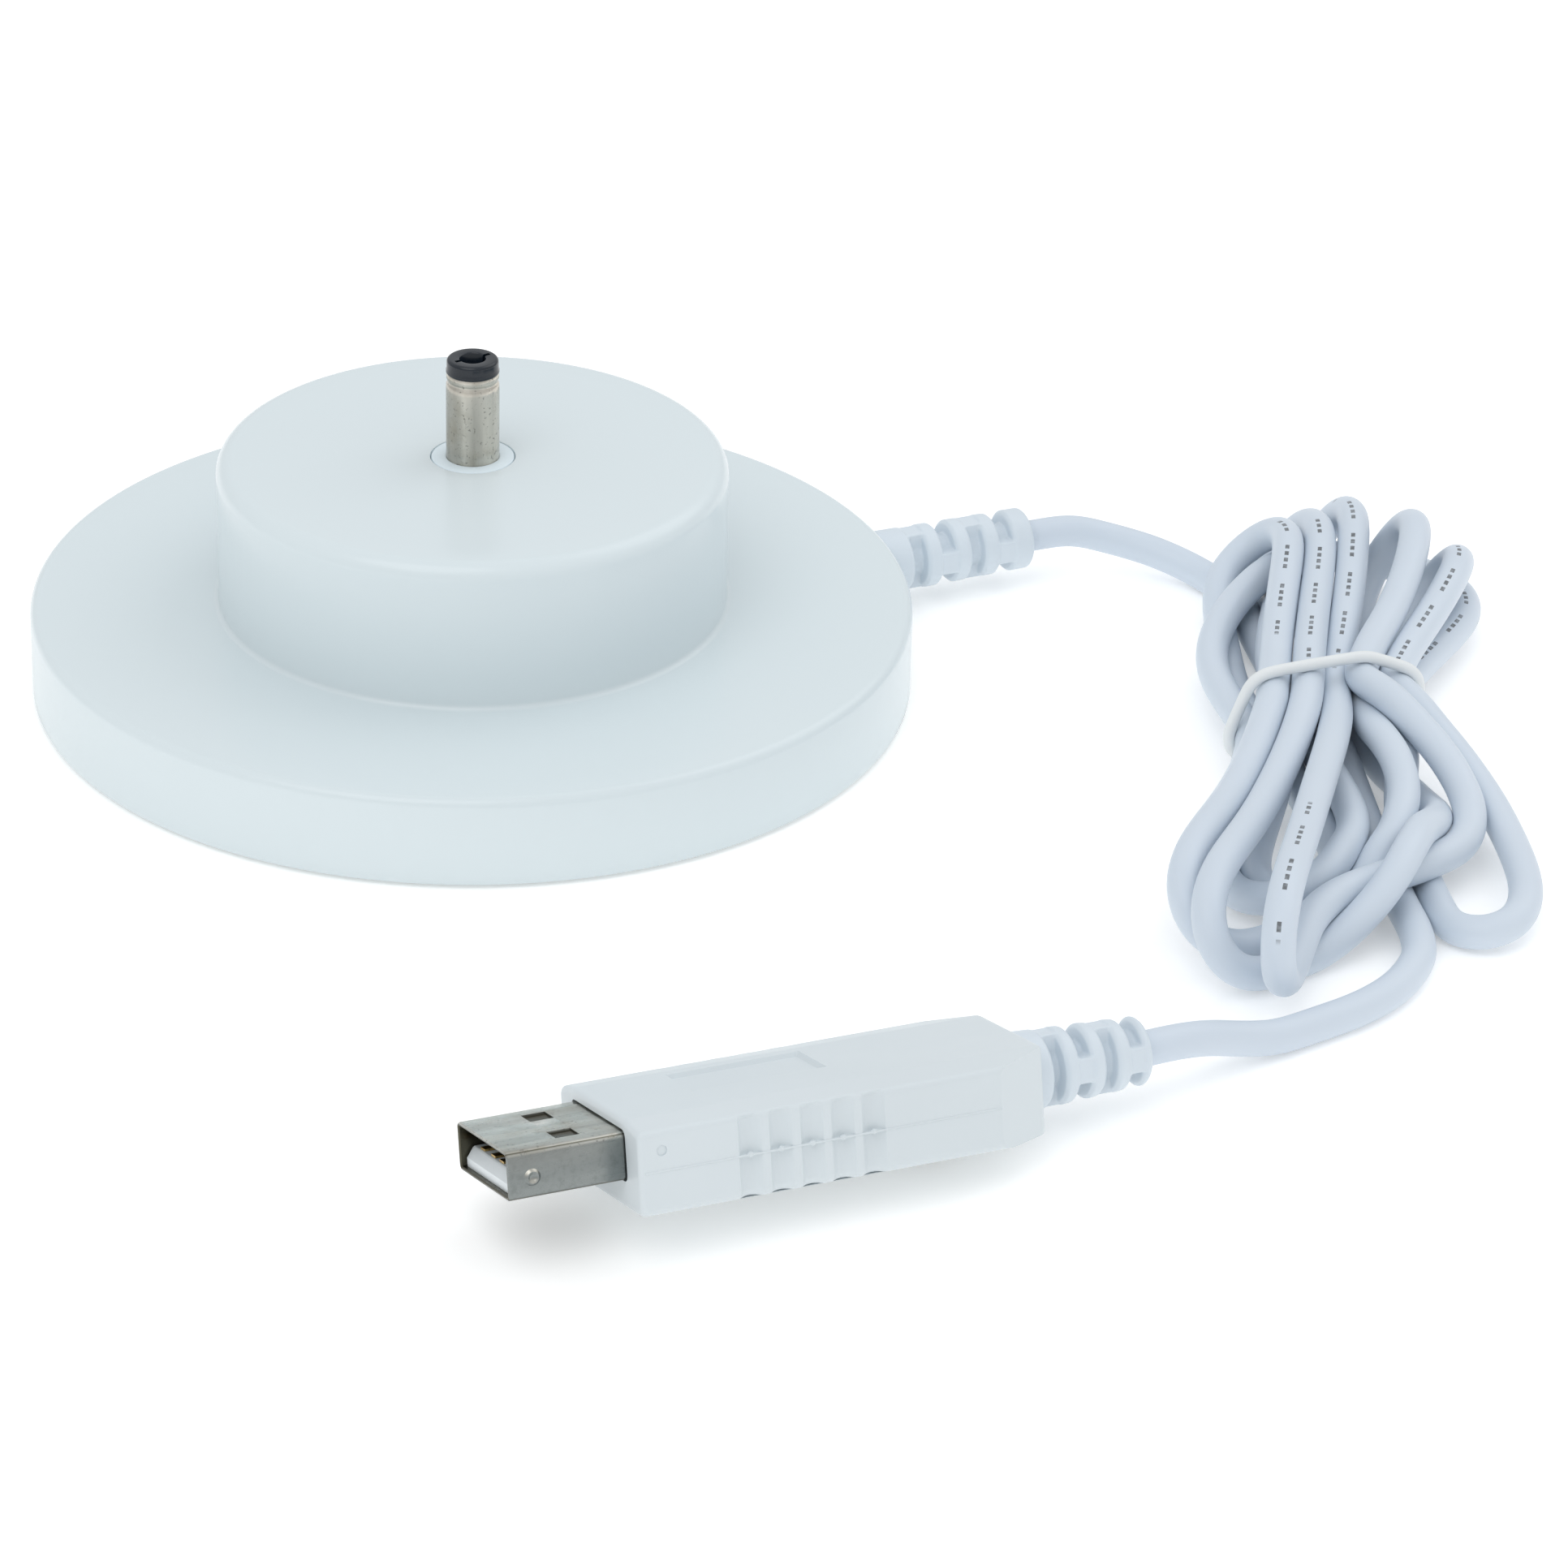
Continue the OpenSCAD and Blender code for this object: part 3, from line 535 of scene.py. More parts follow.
# ---------------------------------------------------------------- the tie round the waist
def hull_2d(points):
    """The convex outline of points in a plane."""
    points = sorted(map(tuple, points))

    def half(run):
        out = []
        for p in run:
            while len(out) > 1 and ((out[-1][0] - out[-2][0]) * (p[1] - out[-2][1])
                                    - (out[-1][1] - out[-2][1]) * (p[0] - out[-2][0])) <= 0:
                out.pop()
            out.append(p)
        return out[:-1]
    return np.array(half(points) + half(points[::-1]))


def make_tie():
    """A thin ring pulled tight round all the strands where they cross its plane, and its twisted ends."""
    across = np.array([math.cos(TIE_TURN), math.sin(TIE_TURN)])
    through = np.array([-math.sin(TIE_TURN), math.cos(TIE_TURN)])
    r = CORD_D / MM / 2 + TIE_D / 2
    reach = (1.1, 12)
    near = np.abs(CORD_HANK[:, :2] @ through) < reach[0]
    near &= np.abs(CORD_HANK[:, :2] @ across) < reach[1]
    u, z = CORD_HANK[near, :2] @ across, CORD_HANK[near, 2]
    sides = 36
    a = np.arange(sides) * TAU / sides
    cloud = np.column_stack([(u[:, None] + r * np.cos(a)).ravel(), (z[:, None] + r * np.sin(a)).ravel()])
    outline = hull_2d(cloud)
    outline = np.vstack([outline, outline[:1]])
    outline[:, 1] = np.maximum(outline[:, 1], TIE_D / 2)
    s = distances(outline)
    count = 120
    at = np.arange(count) * s[-1] / count
    outline = np.column_stack([np.interp(at, s, outline[:, k]) for k in range(2)])
    for _ in range(6):
        outline = 0.5 * outline + 0.25 * (np.roll(outline, 1, 0) + np.roll(outline, -1, 0))
    lean = 0.12 * (outline[:, 1] - WAIST_Z)
    ring = np.column_stack([outline[:, :1] * across + lean[:, None] * through, outline[:, 1]])
    pieces = [tube("tie_ring", from_hank(ring), TIE_D / 2 * MM, 14, closed=True)]
    run = np.linspace(0, 1, 60)
    turns, end_length, end_r = 3, 10, 0.82 * TIE_D / 2
    for k in (0, 1):
        phase = run * TAU * turns + k * math.pi
        wind = 0.5 * np.minimum(1, run * 8)
        ends = np.column_stack([1.7 + wind * np.cos(phase) - 1.2 * run, -1.2 - (end_length - k) * run,
                                1.15 + wind * np.sin(phase)])
        pieces.append(tube("tie_end", from_hank(ends), end_r * MM, 10))
    return joined("tie", pieces, 60)


tie = make_tie()
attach(tie, ALL)
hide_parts("cord_tie")


# ---------------------------------------------------------------- strain reliefs
SLOTS = 4


def make_relief(name, length, r0, r1, first, pitch, slot, matrix):
    """A moulded sleeve along +X: a core, ribs between the slots, and a web in each slot."""
    core_r, web = 1.95 * MM, 1.2 * MM
    soft, tuck, core_short, web_short = 0.35 * MM, 0.5 * MM, 0.1 * MM, 0.25 * MM

    def radius(x):
        return r0 + (r1 - r0) * x / length

    pieces = []
    edges = [0.0]
    for i in range(SLOTS):
        edges += [first + i * pitch - slot / 2, first + i * pitch + slot / 2]
    edges.append(length)
    for a, b in zip(edges[::2], edges[1::2]):
        back = a if a > 0 else -tuck
        ra, rb = radius(a), radius(b)
        profile = [(0, back), (ra - soft, back), (ra, back + soft), (rb, b - soft), (rb - soft, b), (0, b)]
        pieces.append(lathe(name, profile, 48, closed=False, matrix=along_x(0)))
    pieces.append(cylinder(name, core_r, length - core_short, 40, along_x(0)))
    for i in range(SLOTS):
        x = first + i * pitch
        reach = radius(x) - web_short
        size = (reach, web) if i % 2 else (web, reach)
        pieces.append(box_mesh(name, (x - slot, -size[0], -size[1]), (x + slot, size[0], size[1])))
    obj = joined(name, pieces)
    remeshed(obj, 0.12 * MM, 3)
    obj.data.transform(matrix)
    return obj


# how much shorter the visible relief is than its CAD solid
BASE_RELIEF_SHORT = 1.1 * MM
base_relief = make_relief("base_relief", BASE_RELIEF_END - BASE_R - BASE_RELIEF_SHORT, 3.5 * MM, 3.3 * MM,
                          4.7 * MM, 3.43 * MM, 1.5 * MM, Matrix.Translation((BASE_R, 0, CORD_Z)))
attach(base_relief, ALL)
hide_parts("cord_relief")

# ---------------------------------------------------------------- the USB plug, in its own frame
# the housing: half its width in front and at the rear, where it starts to narrow, its top and its bottom
BODY_HALF = 9.2
BODY_REAR_HALF = 6.2
BODY_TAPER_X = 35.5
BODY_TOP, BODY_LOW = 3.36, -5.04
# where its sloping shoulders start and end, its parting line, and the rounding of its two ends
SHOULDER_Y, SHOULDER_Z = 6.0, 2.8
PARTING_Z = -0.9
END_ROUND = 0.6
# the grip grooves in its sides, and the panel in its top, from x to x and from y to y
GRIPS = [10.7 + 3.03 * i for i in range(5)]
GRIP_R, GRIP_DEPTH = 1.4, 0.6
PANEL = (8.9, 21.9, -1.0, 5.0)
PANEL_DEPTH = 0.45
SOFT_EDGE = 0.12
# the steel shell: its length, and its outer and inner width, height and corner radius
SHELL_LEN = 11.2
SHELL_OUTER = (12, 4.5, 0.55)
SHELL_INNER = (11.3, 3.8, 0.25)


def rounded(points, radii, n=6):
    """An open polyline with each inner corner rounded, radii one for each inner corner."""
    points = [np.array(p, float) for p in points]
    out = [points[0]]
    for p, q, s, r in zip(points, points[1:], points[2:], radii):
        a, b = (p - q) / np.linalg.norm(p - q), (s - q) / np.linalg.norm(s - q)
        half = math.acos(max(-1, min(1, a @ b))) / 2
        cut = min(r / math.tan(half), 0.45 * np.linalg.norm(p - q), 0.45 * np.linalg.norm(s - q))
        for k in range(n + 1):
            t = k / n
            out.append((1 - t) ** 2 * (q + a * cut) + 2 * t * (1 - t) * q + t ** 2 * (q + b * cut))
    return out + [points[-1]]


def even_line(points, step):
    """The same line with points added at even steps."""
    points = np.array(points)
    s = distances(points)
    keep = np.unique(np.concatenate([s, np.arange(0, s[-1], step)]))
    return np.column_stack([np.interp(keep, s, points[:, k]) for k in range(points.shape[1])])


def ramp(x, a, b):
    """From 0 at a to 1 at b, without corners."""
    t = np.clip((x - a) / (b - a), 0, 1)
    return t * t * (3 - 2 * t)


def window(x, a, b):
    """1 between a and b and 0 outside, with soft edges."""
    return ramp(x, a - SOFT_EDGE, a + SOFT_EDGE) * (1 - ramp(x, b - SOFT_EDGE, b + SOFT_EDGE))


def body_outline(upper):
    """Half of the housing's cross-section from the parting line round to it again, as (y, z)."""
    if upper:
        line = rounded([(BODY_HALF, PARTING_Z), (BODY_HALF, SHOULDER_Z), (SHOULDER_Y, BODY_TOP),
                        (-SHOULDER_Y, BODY_TOP), (-BODY_HALF, SHOULDER_Z), (-BODY_HALF, PARTING_Z)],
                       [0.7, 2.5, 2.5, 0.7])
    else:
        line = rounded([(-BODY_HALF, PARTING_Z), (-BODY_HALF, BODY_LOW), (BODY_HALF, BODY_LOW),
                        (BODY_HALF, PARTING_Z)], [1, 1])
    return even_line(line, 0.22)


def body_half(name, upper):
    """The housing's upper or lower half: its cross-section, shaped at each step along x and lofted."""
    outline = body_outline(upper)
    quarter = np.linspace(0, math.pi / 2, 7)
    rear = BODY_LEN - END_ROUND
    xs = np.unique(np.round(np.concatenate([END_ROUND - END_ROUND * np.cos(quarter),
                                            np.arange(END_ROUND, rear, 0.16),
                                            rear + END_ROUND * np.sin(quarter)]), 4))
    height = 4.2 if upper else 4.1
    rings = []
    for x in xs:
        y, z = outline[:, 0].copy(), outline[:, 1].copy()
        for g in GRIPS:
            if abs(x - g) < GRIP_R:
                depth = max(0, math.sqrt(GRIP_R ** 2 - (x - g) ** 2) - (GRIP_R - GRIP_DEPTH))
                side = (np.abs(y) > BODY_HALF - 0.75) & (z < SHOULDER_Z + 0.2)
                fade = 1 - ramp(z, SHOULDER_Z - 0.5, SHOULDER_Z + 0.2)
                y = np.where(side, y - np.sign(y) * depth * fade, y)
        if upper:
            inset = window(x, PANEL[0], PANEL[1]) * window(y, PANEL[2], PANEL[3])
            z = np.where(z > BODY_TOP - 0.05, z - PANEL_DEPTH * inset, z)
        tapered = max(0, x - BODY_TAPER_X) / (BODY_LEN - BODY_TAPER_X)
        half = BODY_HALF - (BODY_HALF - BODY_REAR_HALF) * tapered
        y = np.clip(y, -half, half)
        end = min(x, BODY_LEN - x, END_ROUND)
        shrink = END_ROUND - math.sqrt(max(0, END_ROUND ** 2 - (END_ROUND - end) ** 2))
        y = y * (1 - shrink / BODY_HALF)
        z = PARTING_Z + (z - PARTING_Z) * (1 - shrink / height)
        rings.append(np.column_stack([np.full(len(y), x), y, z]) * MM)
    return loft(name, rings, 35)


def plug_ring(x, w, h, r):
    """A rounded rectangle across the plug's X."""
    ring = []
    for sy, sz, a in ((1, 1, 0), (-1, 1, 90), (-1, -1, 180), (1, -1, 270)):
        ring += arc(sy * (w / 2 - r), sz * (h / 2 - r), r, a, a + 90, 6)
    return np.array([(x, y, z) for y, z in ring]) * MM


def cut_housing(top, low):
    """The mouth for the steel shell, the hole for the relief, an ejector mark and the screw's well."""
    relief_at = along_x(39.3 * MM, 0, PLUG_RELIEF_Z * MM)
    for half in (top, low):
        mouth = loft("cut", [plug_ring(x, 12.35, 4.85, 0.7) for x in (-1, 5)], 30)
        cut_out(half, [mouth, cylinder("cut", 2.7 * MM, 5 * MM, 40, relief_at)], sharp=32)
    mark_at = (Matrix.Translation((2.2 * MM, (0.12 - BODY_HALF) * MM, 1 * MM))
               @ Matrix.Rotation(math.pi / 2, 4, "X"))
    cut_out(top, [cylinder("cut", 0.5 * MM, 0.3 * MM, 24, mark_at)], sharp=32)
    well_at = Matrix.Translation((32.3 * MM, 0, (BODY_LOW - 1.1) * MM))
    cut_out(low, [cylinder("cut", 1.9 * MM, 2 * MM, 40, well_at)], sharp=32)


housing_top = body_half("housing_upper_half", True)
housing_low = body_half("housing_lower_half", False)
cut_housing(housing_top, housing_low)
housing_top.data.transform(PLUG)
housing_low.data.transform(PLUG)


def make_flash():
    """The thin line of moulding flash along both sides, with a bead where it bridges each grip groove."""
    line_r = 0.1
    bead_shape = [(-0.32, 0.2, 0.12), (-0.1, 0.16, 0.26), (0.12, 0.16, 0.26), (0.34, 0.2, 0.12)]
    pieces = []
    for side in (-1, 1):
        line = [(x, side * (BODY_HALF - 0.03), PARTING_Z) for x in np.linspace(0.5, BODY_TAPER_X, 60)]
        pieces.append(tube("flash", np.array(line) * MM, line_r * MM, 8, matrix=PLUG))
        for x in GRIPS:
            bead = [(x + along, side * (BODY_HALF - inwards), PARTING_Z) for along, inwards, _ in bead_shape]
            radii = np.array([r for _, _, r in bead_shape])
            pieces.append(tube("flash", np.array(bead) * MM, radii * MM, 10, matrix=PLUG))
    return joined("housing_flash", pieces, 60)


flash = make_flash()
for piece in (housing_top, housing_low, flash):
    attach(piece, ALL)
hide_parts("housing_top")
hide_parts("housing_bottom")


def make_dimple(side):
    """A small domed dimple near the shell's front, on one side."""
    shape = [(0, 0.02), (0.2, 0.03), (0.34, 0.1), (0.46, 0.2), (0.55, 0.22), (0.66, 0.14), (0.8, -0.02)]
    place = Matrix.Translation((-8.9 * MM, side * 6 * MM, -0.3 * MM))
    turn = Matrix.Rotation(-side * math.pi / 2, 4, "X")
    return lathe("dimple", np.array(shape) * MM, 40, closed=False, sharp=80, matrix=place @ turn)


def make_usb_shell():
    """A folded steel tube with a rolled front edge, two windows each side, dimples and a seam underneath."""
    lip, roll, back = 0.12, 0.1, 5.4
    (w0, h0, r0), (w1, h1, r1) = SHELL_OUTER, SHELL_INNER
    rings = [plug_ring(lip - SHELL_LEN, w0, h0, r0), plug_ring(back, w0, h0, r0),
             plug_ring(back, w1, h1, r1), plug_ring(lip - SHELL_LEN, w1, h1, r1),
             plug_ring(-SHELL_LEN, w1 + 2 * roll, h1 + 2 * roll, r1 + roll),
             plug_ring(-SHELL_LEN, w0 - 2 * roll, h0 - 2 * roll, r0 - roll)]
    count = len(rings[0])
    n = len(rings)
    faces = [(i * count + k, i * count + (k + 1) % count, (i + 1) % n * count + (k + 1) % count,
              (i + 1) % n * count + k) for i in range(n) for k in range(count)]
    shell = mesh_object("usb_shell_skin", np.concatenate(rings), faces, 30)
    cutters = []
    for y in (-3, 3):
        for z in (-3, 3):
            low, high = (-5.75, y - 1.15, z - 1), (-3.45, y + 1.15, z + 1)
            cutters.append(box_mesh("cut", [v * MM for v in low], [v * MM for v in high]))
    seam_half = 0.05 * MM
    cutters.append(box_mesh("cut", (-12 * MM, -seam_half, -3 * MM), (-0.2 * MM, seam_half, -2.1 * MM)))
    cut_out(shell, cutters, sharp=30)
    soften_edges(shell, 0.06 * MM, 50, 30)
    shell = joined("usb_shell_skin", [shell] + [make_dimple(side) for side in (-1, 1)], 32)
    # marks the vertices inside the shell, on whose faces its material paints shade
    within = (5.85 * MM, 2.1 * MM)
    inside = [float(abs(v.co.y) < within[0] and abs(v.co.z) < within[1]) for v in shell.data.vertices]
    shell.data.attributes.new("inside", "FLOAT", "POINT").data.foreach_set("value", inside)
    shell.data.transform(PLUG)
    return shell


usb_shell = make_usb_shell()
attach(usb_shell, ALL)
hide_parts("usb_shell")


def make_tongue():
    """The white tongue: a slab with a chamfered front that shows a step across it."""
    low = -4.5 / 2 + 0.35
    middle = low + 0.9
    side = [(-10.7, low), (-10.7, low + 0.85), (-10.62, middle), (-10.1, low + 1.65), (-9.9, low + 1.8),
            (5.4, low + 1.8), (5.4, low)]
    rings = []
    for y, inset in ((-5.5, 0.25), (-5.3, 0), (5.3, 0), (5.5, 0.25)):
        squeeze = 1 - inset / 1.2
        ring = [(x + (inset if x < 0 else -inset), y, middle + (z - middle) * squeeze) for x, z in side]
        rings.append(np.array(ring) * MM)
    tongue = loft("usb_tongue", rings, 25)
    soften_edges(tongue, 0.08 * MM, 25, 40)
    tongue.data.transform(PLUG)
    return tongue


tongue = make_tongue()
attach(tongue, ALL)
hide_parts("usb_insulator")

plug_relief = make_relief("usb_relief", PLUG_RELIEF_LEN * MM, 3.85 * MM, 3.25 * MM,
                          3.1 * MM, 2.75 * MM, 1.2 * MM,
                          PLUG @ Matrix.Translation((BODY_LEN * MM, 0, PLUG_RELIEF_Z * MM)))
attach(plug_relief, ALL)
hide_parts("plug_relief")


# ---------------------------------------------------------------- the base
TIP_H = 1.5
SLEEVE_BORE = 2.3
BELOW_DECK = 8


def make_base():
    """The upper shell: a rim, a tier and a deck with a hole for the collar, hollow underneath."""
    r, z = BASE_R / MM, DECK_Z / MM
    rim_h, tier_r, wall = 9.9, 26.5, 2.0
    foot = FOOT_GAP / MM
    collar = 4.4
    profile = [(r - 0.35, foot), (r - 0.1, foot + 0.1), (r, foot + 0.35)]
    profile += [(r, h) for h in (2, 4, 6)]
    profile += arc(r - 1, rim_h - 1, 1, 0, 90, 10)
    profile += [(v, rim_h) for v in (42, 38, 34, 30)]
    profile += arc(tier_r + 0.6, rim_h + 0.6, 0.6, 270, 180, 6)
    profile += [(tier_r, h) for h in (13, 17, 21)]
    profile += arc(tier_r - 1.8, z - 1.8, 1.8, 0, 90, 12)
    profile += [(v, z) for v in (22, 18, 13, 9, 6)]
    profile += [(collar + 0.12, z), (collar + 0.03, z - 0.02), (collar, z - 0.08), (collar, z - wall)]
    profile += [(tier_r - wall, z - wall), (tier_r - wall, rim_h - wall)]
    profile += [(r - wall, rim_h - wall), (r - wall, foot)]
    base = lathe("base_shell", np.array(profile) * MM, 256, sharp=35)
    hole = cylinder("cut", 3.5 * MM, 12 * MM, 64, along_x(BASE_R - 6 * MM, 0, CORD_Z))
    return cut_out(base, [hole], sharp=35)


base = make_base()
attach(base, ALL)
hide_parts("upper_shell")


def make_collar():
    """The ring round the barrel, flush with the deck, with soft edges inside and outside."""
    r, bore, z = 4.3, 2.7, DECK_Z / MM
    profile = [(bore, z - BELOW_DECK), (bore, z - 0.12), (bore + 0.08, z - 0.02), (bore + 0.2, z)]
    profile += [(r - 0.18, z), (r - 0.05, z - 0.04), (r, z - 0.15), (r, z - BELOW_DECK)]
    return lathe("deck_collar", np.array(profile) * MM, 128, sharp=50)


def make_sleeve():
    """The barrel: straight sides, a crimped groove, and a lip rolled in under the tip."""
    r, z, top = SLEEVE_R / MM, DECK_Z / MM, PLUG_TOP / MM - TIP_H
    g = z + 8.6
    root = z - BELOW_DECK
    profile = [(SLEEVE_BORE, root), (r - 0.02, root), (r - 0.02, z - 0.1), (r, z + 0.1)]
    profile += [(r, z + h) for h in (2, 4, 6, 7.7)]
    profile += [(r - 0.02, g - 0.42), (r - 0.1, g - 0.28), (r - 0.17, g - 0.12), (r - 0.19, g),
                (r - 0.16, g + 0.1), (r - 0.07, g + 0.22), (r - 0.03, g + 0.34), (r - 0.05, g + 0.5)]
    profile += [(r - 0.03, top - 0.28), (r - 0.1, top - 0.12), (r - 0.14, top - 0.02), (r - 0.2, top),
                (SLEEVE_BORE, top)]
    return lathe("barrel_sleeve", np.array(profile) * MM, 128, sharp=60)


def make_tip():
    """The black insulator: a soft top edge, a slightly proud foot, a mouth and two keyed notches."""
    r, top = SLEEVE_R / MM, PLUG_TOP / MM
    low = top - TIP_H
    profile = [(2.28, low - 1), (2.28, low - 0.01), (r - 0.05, low - 0.01), (r, low + 0.06), (r, low + 0.26),
               (r - 0.07, low + 0.42)]
    profile += arc(r - 0.44, top - 0.37, 0.37, 0, 90, 8)
    profile += [(1.5, top), (1.42, top - 0.02), (1.33, top - 0.12), (1.3, top - 1.3), (1.1, low - 0.2),
                (1.1, low - 1)]
    tip = lathe("barrel_tip", np.array(profile) * MM, 128, sharp=45)
    cutters = []
    for a in (8, 188):
        turn = Matrix.Rotation(math.radians(a), 4, "Z")
        cutters.append(box_mesh("cut", (1.0 * MM, -0.22 * MM, (top - 0.9) * MM),
                                (2.02 * MM, 0.22 * MM, (top + 1) * MM), turn))
    return cut_out(tip, cutters, sharp=45)


collar = make_collar()
sleeve = make_sleeve()
tip = make_tip()
for piece, node, finish in ((collar, "plug_collar", "collar_plastic"), (sleeve, "plug_sleeve", "nickel"),
                            (tip, "plug_tip", "black_plastic")):
    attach(piece, ALL)
    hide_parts(node)


# ---------------------------------------------------------------- materials
class Nodes:
    """A material's node tree, with short calls for the nodes used here."""

    def __init__(self, name):
        self.mat = bpy.data.materials.new(name)
        self.mat.use_nodes = True
        self.tree = self.mat.node_tree
        self.shader = self.tree.nodes["Principled BSDF"]
        self.coords = self.tree.nodes.new("ShaderNodeTexCoord").outputs["Object"]

    def put(self, kind, inputs=None, **values):
        node = self.tree.nodes.new(kind)
        for key, value in values.items():
            setattr(node, key, value)
        for key, value in (inputs or {}).items():
            if hasattr(value, "is_output"):
                self.tree.links.new(value, node.inputs[key])
            else:
                node.inputs[key].default_value = value
        return node

    def set(self, **values):
        for key, value in values.items():
            socket = self.shader.inputs[key.replace("_", " ")]
            if hasattr(value, "is_output"):
                self.tree.links.new(value, socket)
            else:
                socket.default_value = value

    def stretched(self, x, y, z):
        return self.put("ShaderNodeMapping", {"Vector": self.coords, "Scale": (x, y, z)}).outputs["Vector"]

    def noise(self, scale, detail=3, vector=None, rough=0.5):
        return self.put("ShaderNodeTexNoise", {"Vector": vector or self.coords, "Scale": scale,
                                               "Detail": detail, "Roughness": rough}).outputs["Fac"]

    def range(self, value, a, b, c, d):
        return self.put("ShaderNodeMapRange", {"Value": value, "From Min": a, "From Max": b,
                                               "To Min": c, "To Max": d}).outputs["Result"]

    def mix(self, fac, a, b):
        node = self.put("ShaderNodeMix", data_type="RGBA")
        for socket, value in (("Factor", fac), ("A", a), ("B", b)):
            inputs = [i for i in node.inputs if i.name == socket and i.enabled]
            if hasattr(value, "is_output"):
                self.tree.links.new(value, inputs[0])
            else:
                inputs[0].default_value = value
        return [o for o in node.outputs if o.enabled][0]

    def math(self, operation, a, b=0.0):
        return self.put("ShaderNodeMath", {0: a, 1: b}, operation=operation).outputs[0]

    def bump(self, height, strength, distance):
        self.set(Normal=self.put("ShaderNodeBump", {"Height": height, "Strength": strength,
                                                    "Distance": distance}).outputs["Normal"])


def rgba(color, k=1.0):
    return tuple(min(1, c * k) for c in color) + (1,)


def plastic(name, color, rough, grain, bump, depth, mottle, cloud, uneven=0.12):
    """A moulded plastic or rubber: faint clouds of tone, fine grain, uneven gloss."""
    m = Nodes(name)
    clouds = m.noise(cloud, 4)
    m.set(Base_Color=m.mix(clouds, rgba(color, 1 - 2.5 * mottle), rgba(color, 1 + 2.5 * mottle)))
    m.set(Roughness=m.range(m.noise(cloud * 3, 3), 0, 1, rough - uneven, rough + uneven))
    m.bump(m.noise(grain, 3), bump, depth)
    return m


def metal(name, color, stain, rough, streak, scale=900, speck=0.5):
    """A plated metal: broad bright bands of painted reflection, drawn streaks, yellowish stains and tiny
    dark specks.
    """
    m = Nodes(name)
    lines = m.noise(scale, 4, m.stretched(*streak), 0.6)
    base = m.mix(m.range(lines, 0.3, 0.7, 0, 1), rgba(color, 0.82), rgba(color, 1.12))
    # painted reflection: broad bands made brighter in the colour
    reflection_bands = m.noise(scale * 0.5, 2, m.stretched(*[v if v == 1 else 0.3 * v for v in streak]))
    base = m.mix(m.range(reflection_bands, 0.42, 0.62, 0, 0.6), base, rgba(color, 1.45))
    base = m.mix(m.range(m.noise(260, 5, None, 0.65), 0.48, 0.72, 0, 0.75), base, rgba(stain))
    dots = m.range(m.noise(3000, 2), 0.63, 0.69, 0, speck)
    base = m.mix(dots, base, rgba(color, 0.3))
    m.set(Base_Color=base, Metallic=1.0)
    m.set(Roughness=m.range(m.noise(420, 5, m.stretched(*streak)), 0.3, 0.7, rough - 0.06, rough + 0.12))
    m.bump(lines, 0.12, 0.00002)
    return m


def shell_metal(name):
    """The USB shell's plating: mottled, with painted shade that darkens its sides against its top, and
    painted shade inside.
    """
    m = metal(name, (0.52, 0.52, 0.48), (0.4, 0.37, 0.3), 0.26, (0.12, 1, 1))
    plain = m.shader.inputs["Base Color"].links[0].from_socket
    normal = m.put("ShaderNodeNewGeometry").outputs["Normal"]
    up = m.put("ShaderNodeSeparateXYZ", {"Vector": normal}).outputs["Z"]
    grain = m.range(m.noise(1500, 4, None, 0.7), 0.35, 0.65, 0.7, 1.25)
    # painted shade: a darker colour for the sides, with real mottled grain in it
    side = m.mix(grain, (0.13, 0.145, 0.14, 1), (0.25, 0.27, 0.265, 1))
    # painted light and shade: faces that turn up keep the lighter plating, faces that turn sideways take the
    # darker colour
    outer = m.mix(m.range(up, 0.25, 0.6, 0, 1), side, plain)
    # painted shade: the faces marked inside take a dark brown colour
    inside = m.put("ShaderNodeAttribute", attribute_name="inside").outputs["Fac"]
    m.set(Base_Color=m.mix(inside, outer, (0.10, 0.095, 0.07, 1)))
    return m


DASH_PITCH = 1.3 * MM
DASH_HALF = 0.22 * MM


def make_cord_material():
    """Satin PVC with a printed row of plain dashes, where the cord's mesh says that its print shows."""
    m = plastic("cord_pvc", (0.62, 0.69, 0.77), 0.42, 700, 0.12, 0.00002, 0.02, 40)
    at = m.put("ShaderNodeAttribute", attribute_name="print_at").outputs["Vector"]
    split = m.put("ShaderNodeSeparateXYZ", {"Vector": at})
    along, across, shown = split.outputs
    cell = m.math("DIVIDE", along, DASH_PITCH)
    number = m.math("FLOOR", cell)
    part = m.math("FRACT", cell)
    dash = m.math("LESS_THAN", part, 0.6)
    group = m.math("GREATER_THAN", m.math("FRACT", m.math("DIVIDE", number, 6.0)), 0.3)
    thin = m.math("LESS_THAN", m.math("ABSOLUTE", across), DASH_HALF)
    ink = m.math("MULTIPLY", m.math("MULTIPLY", dash, thin), m.math("MULTIPLY", group, shown))
    worn = m.math("MULTIPLY", ink, m.range(m.noise(1800, 3), 0.35, 0.6, 0.7, 0.95))
    plain = m.shader.inputs["Base Color"].links[0].from_socket
    m.set(Base_Color=m.mix(worn, plain, (0.10, 0.11, 0.12, 1)))
    m.set(Subsurface_Weight=0.08, Subsurface_Scale=0.0015, Subsurface_Radius=(1.0, 0.9, 0.8))
    return m.mat


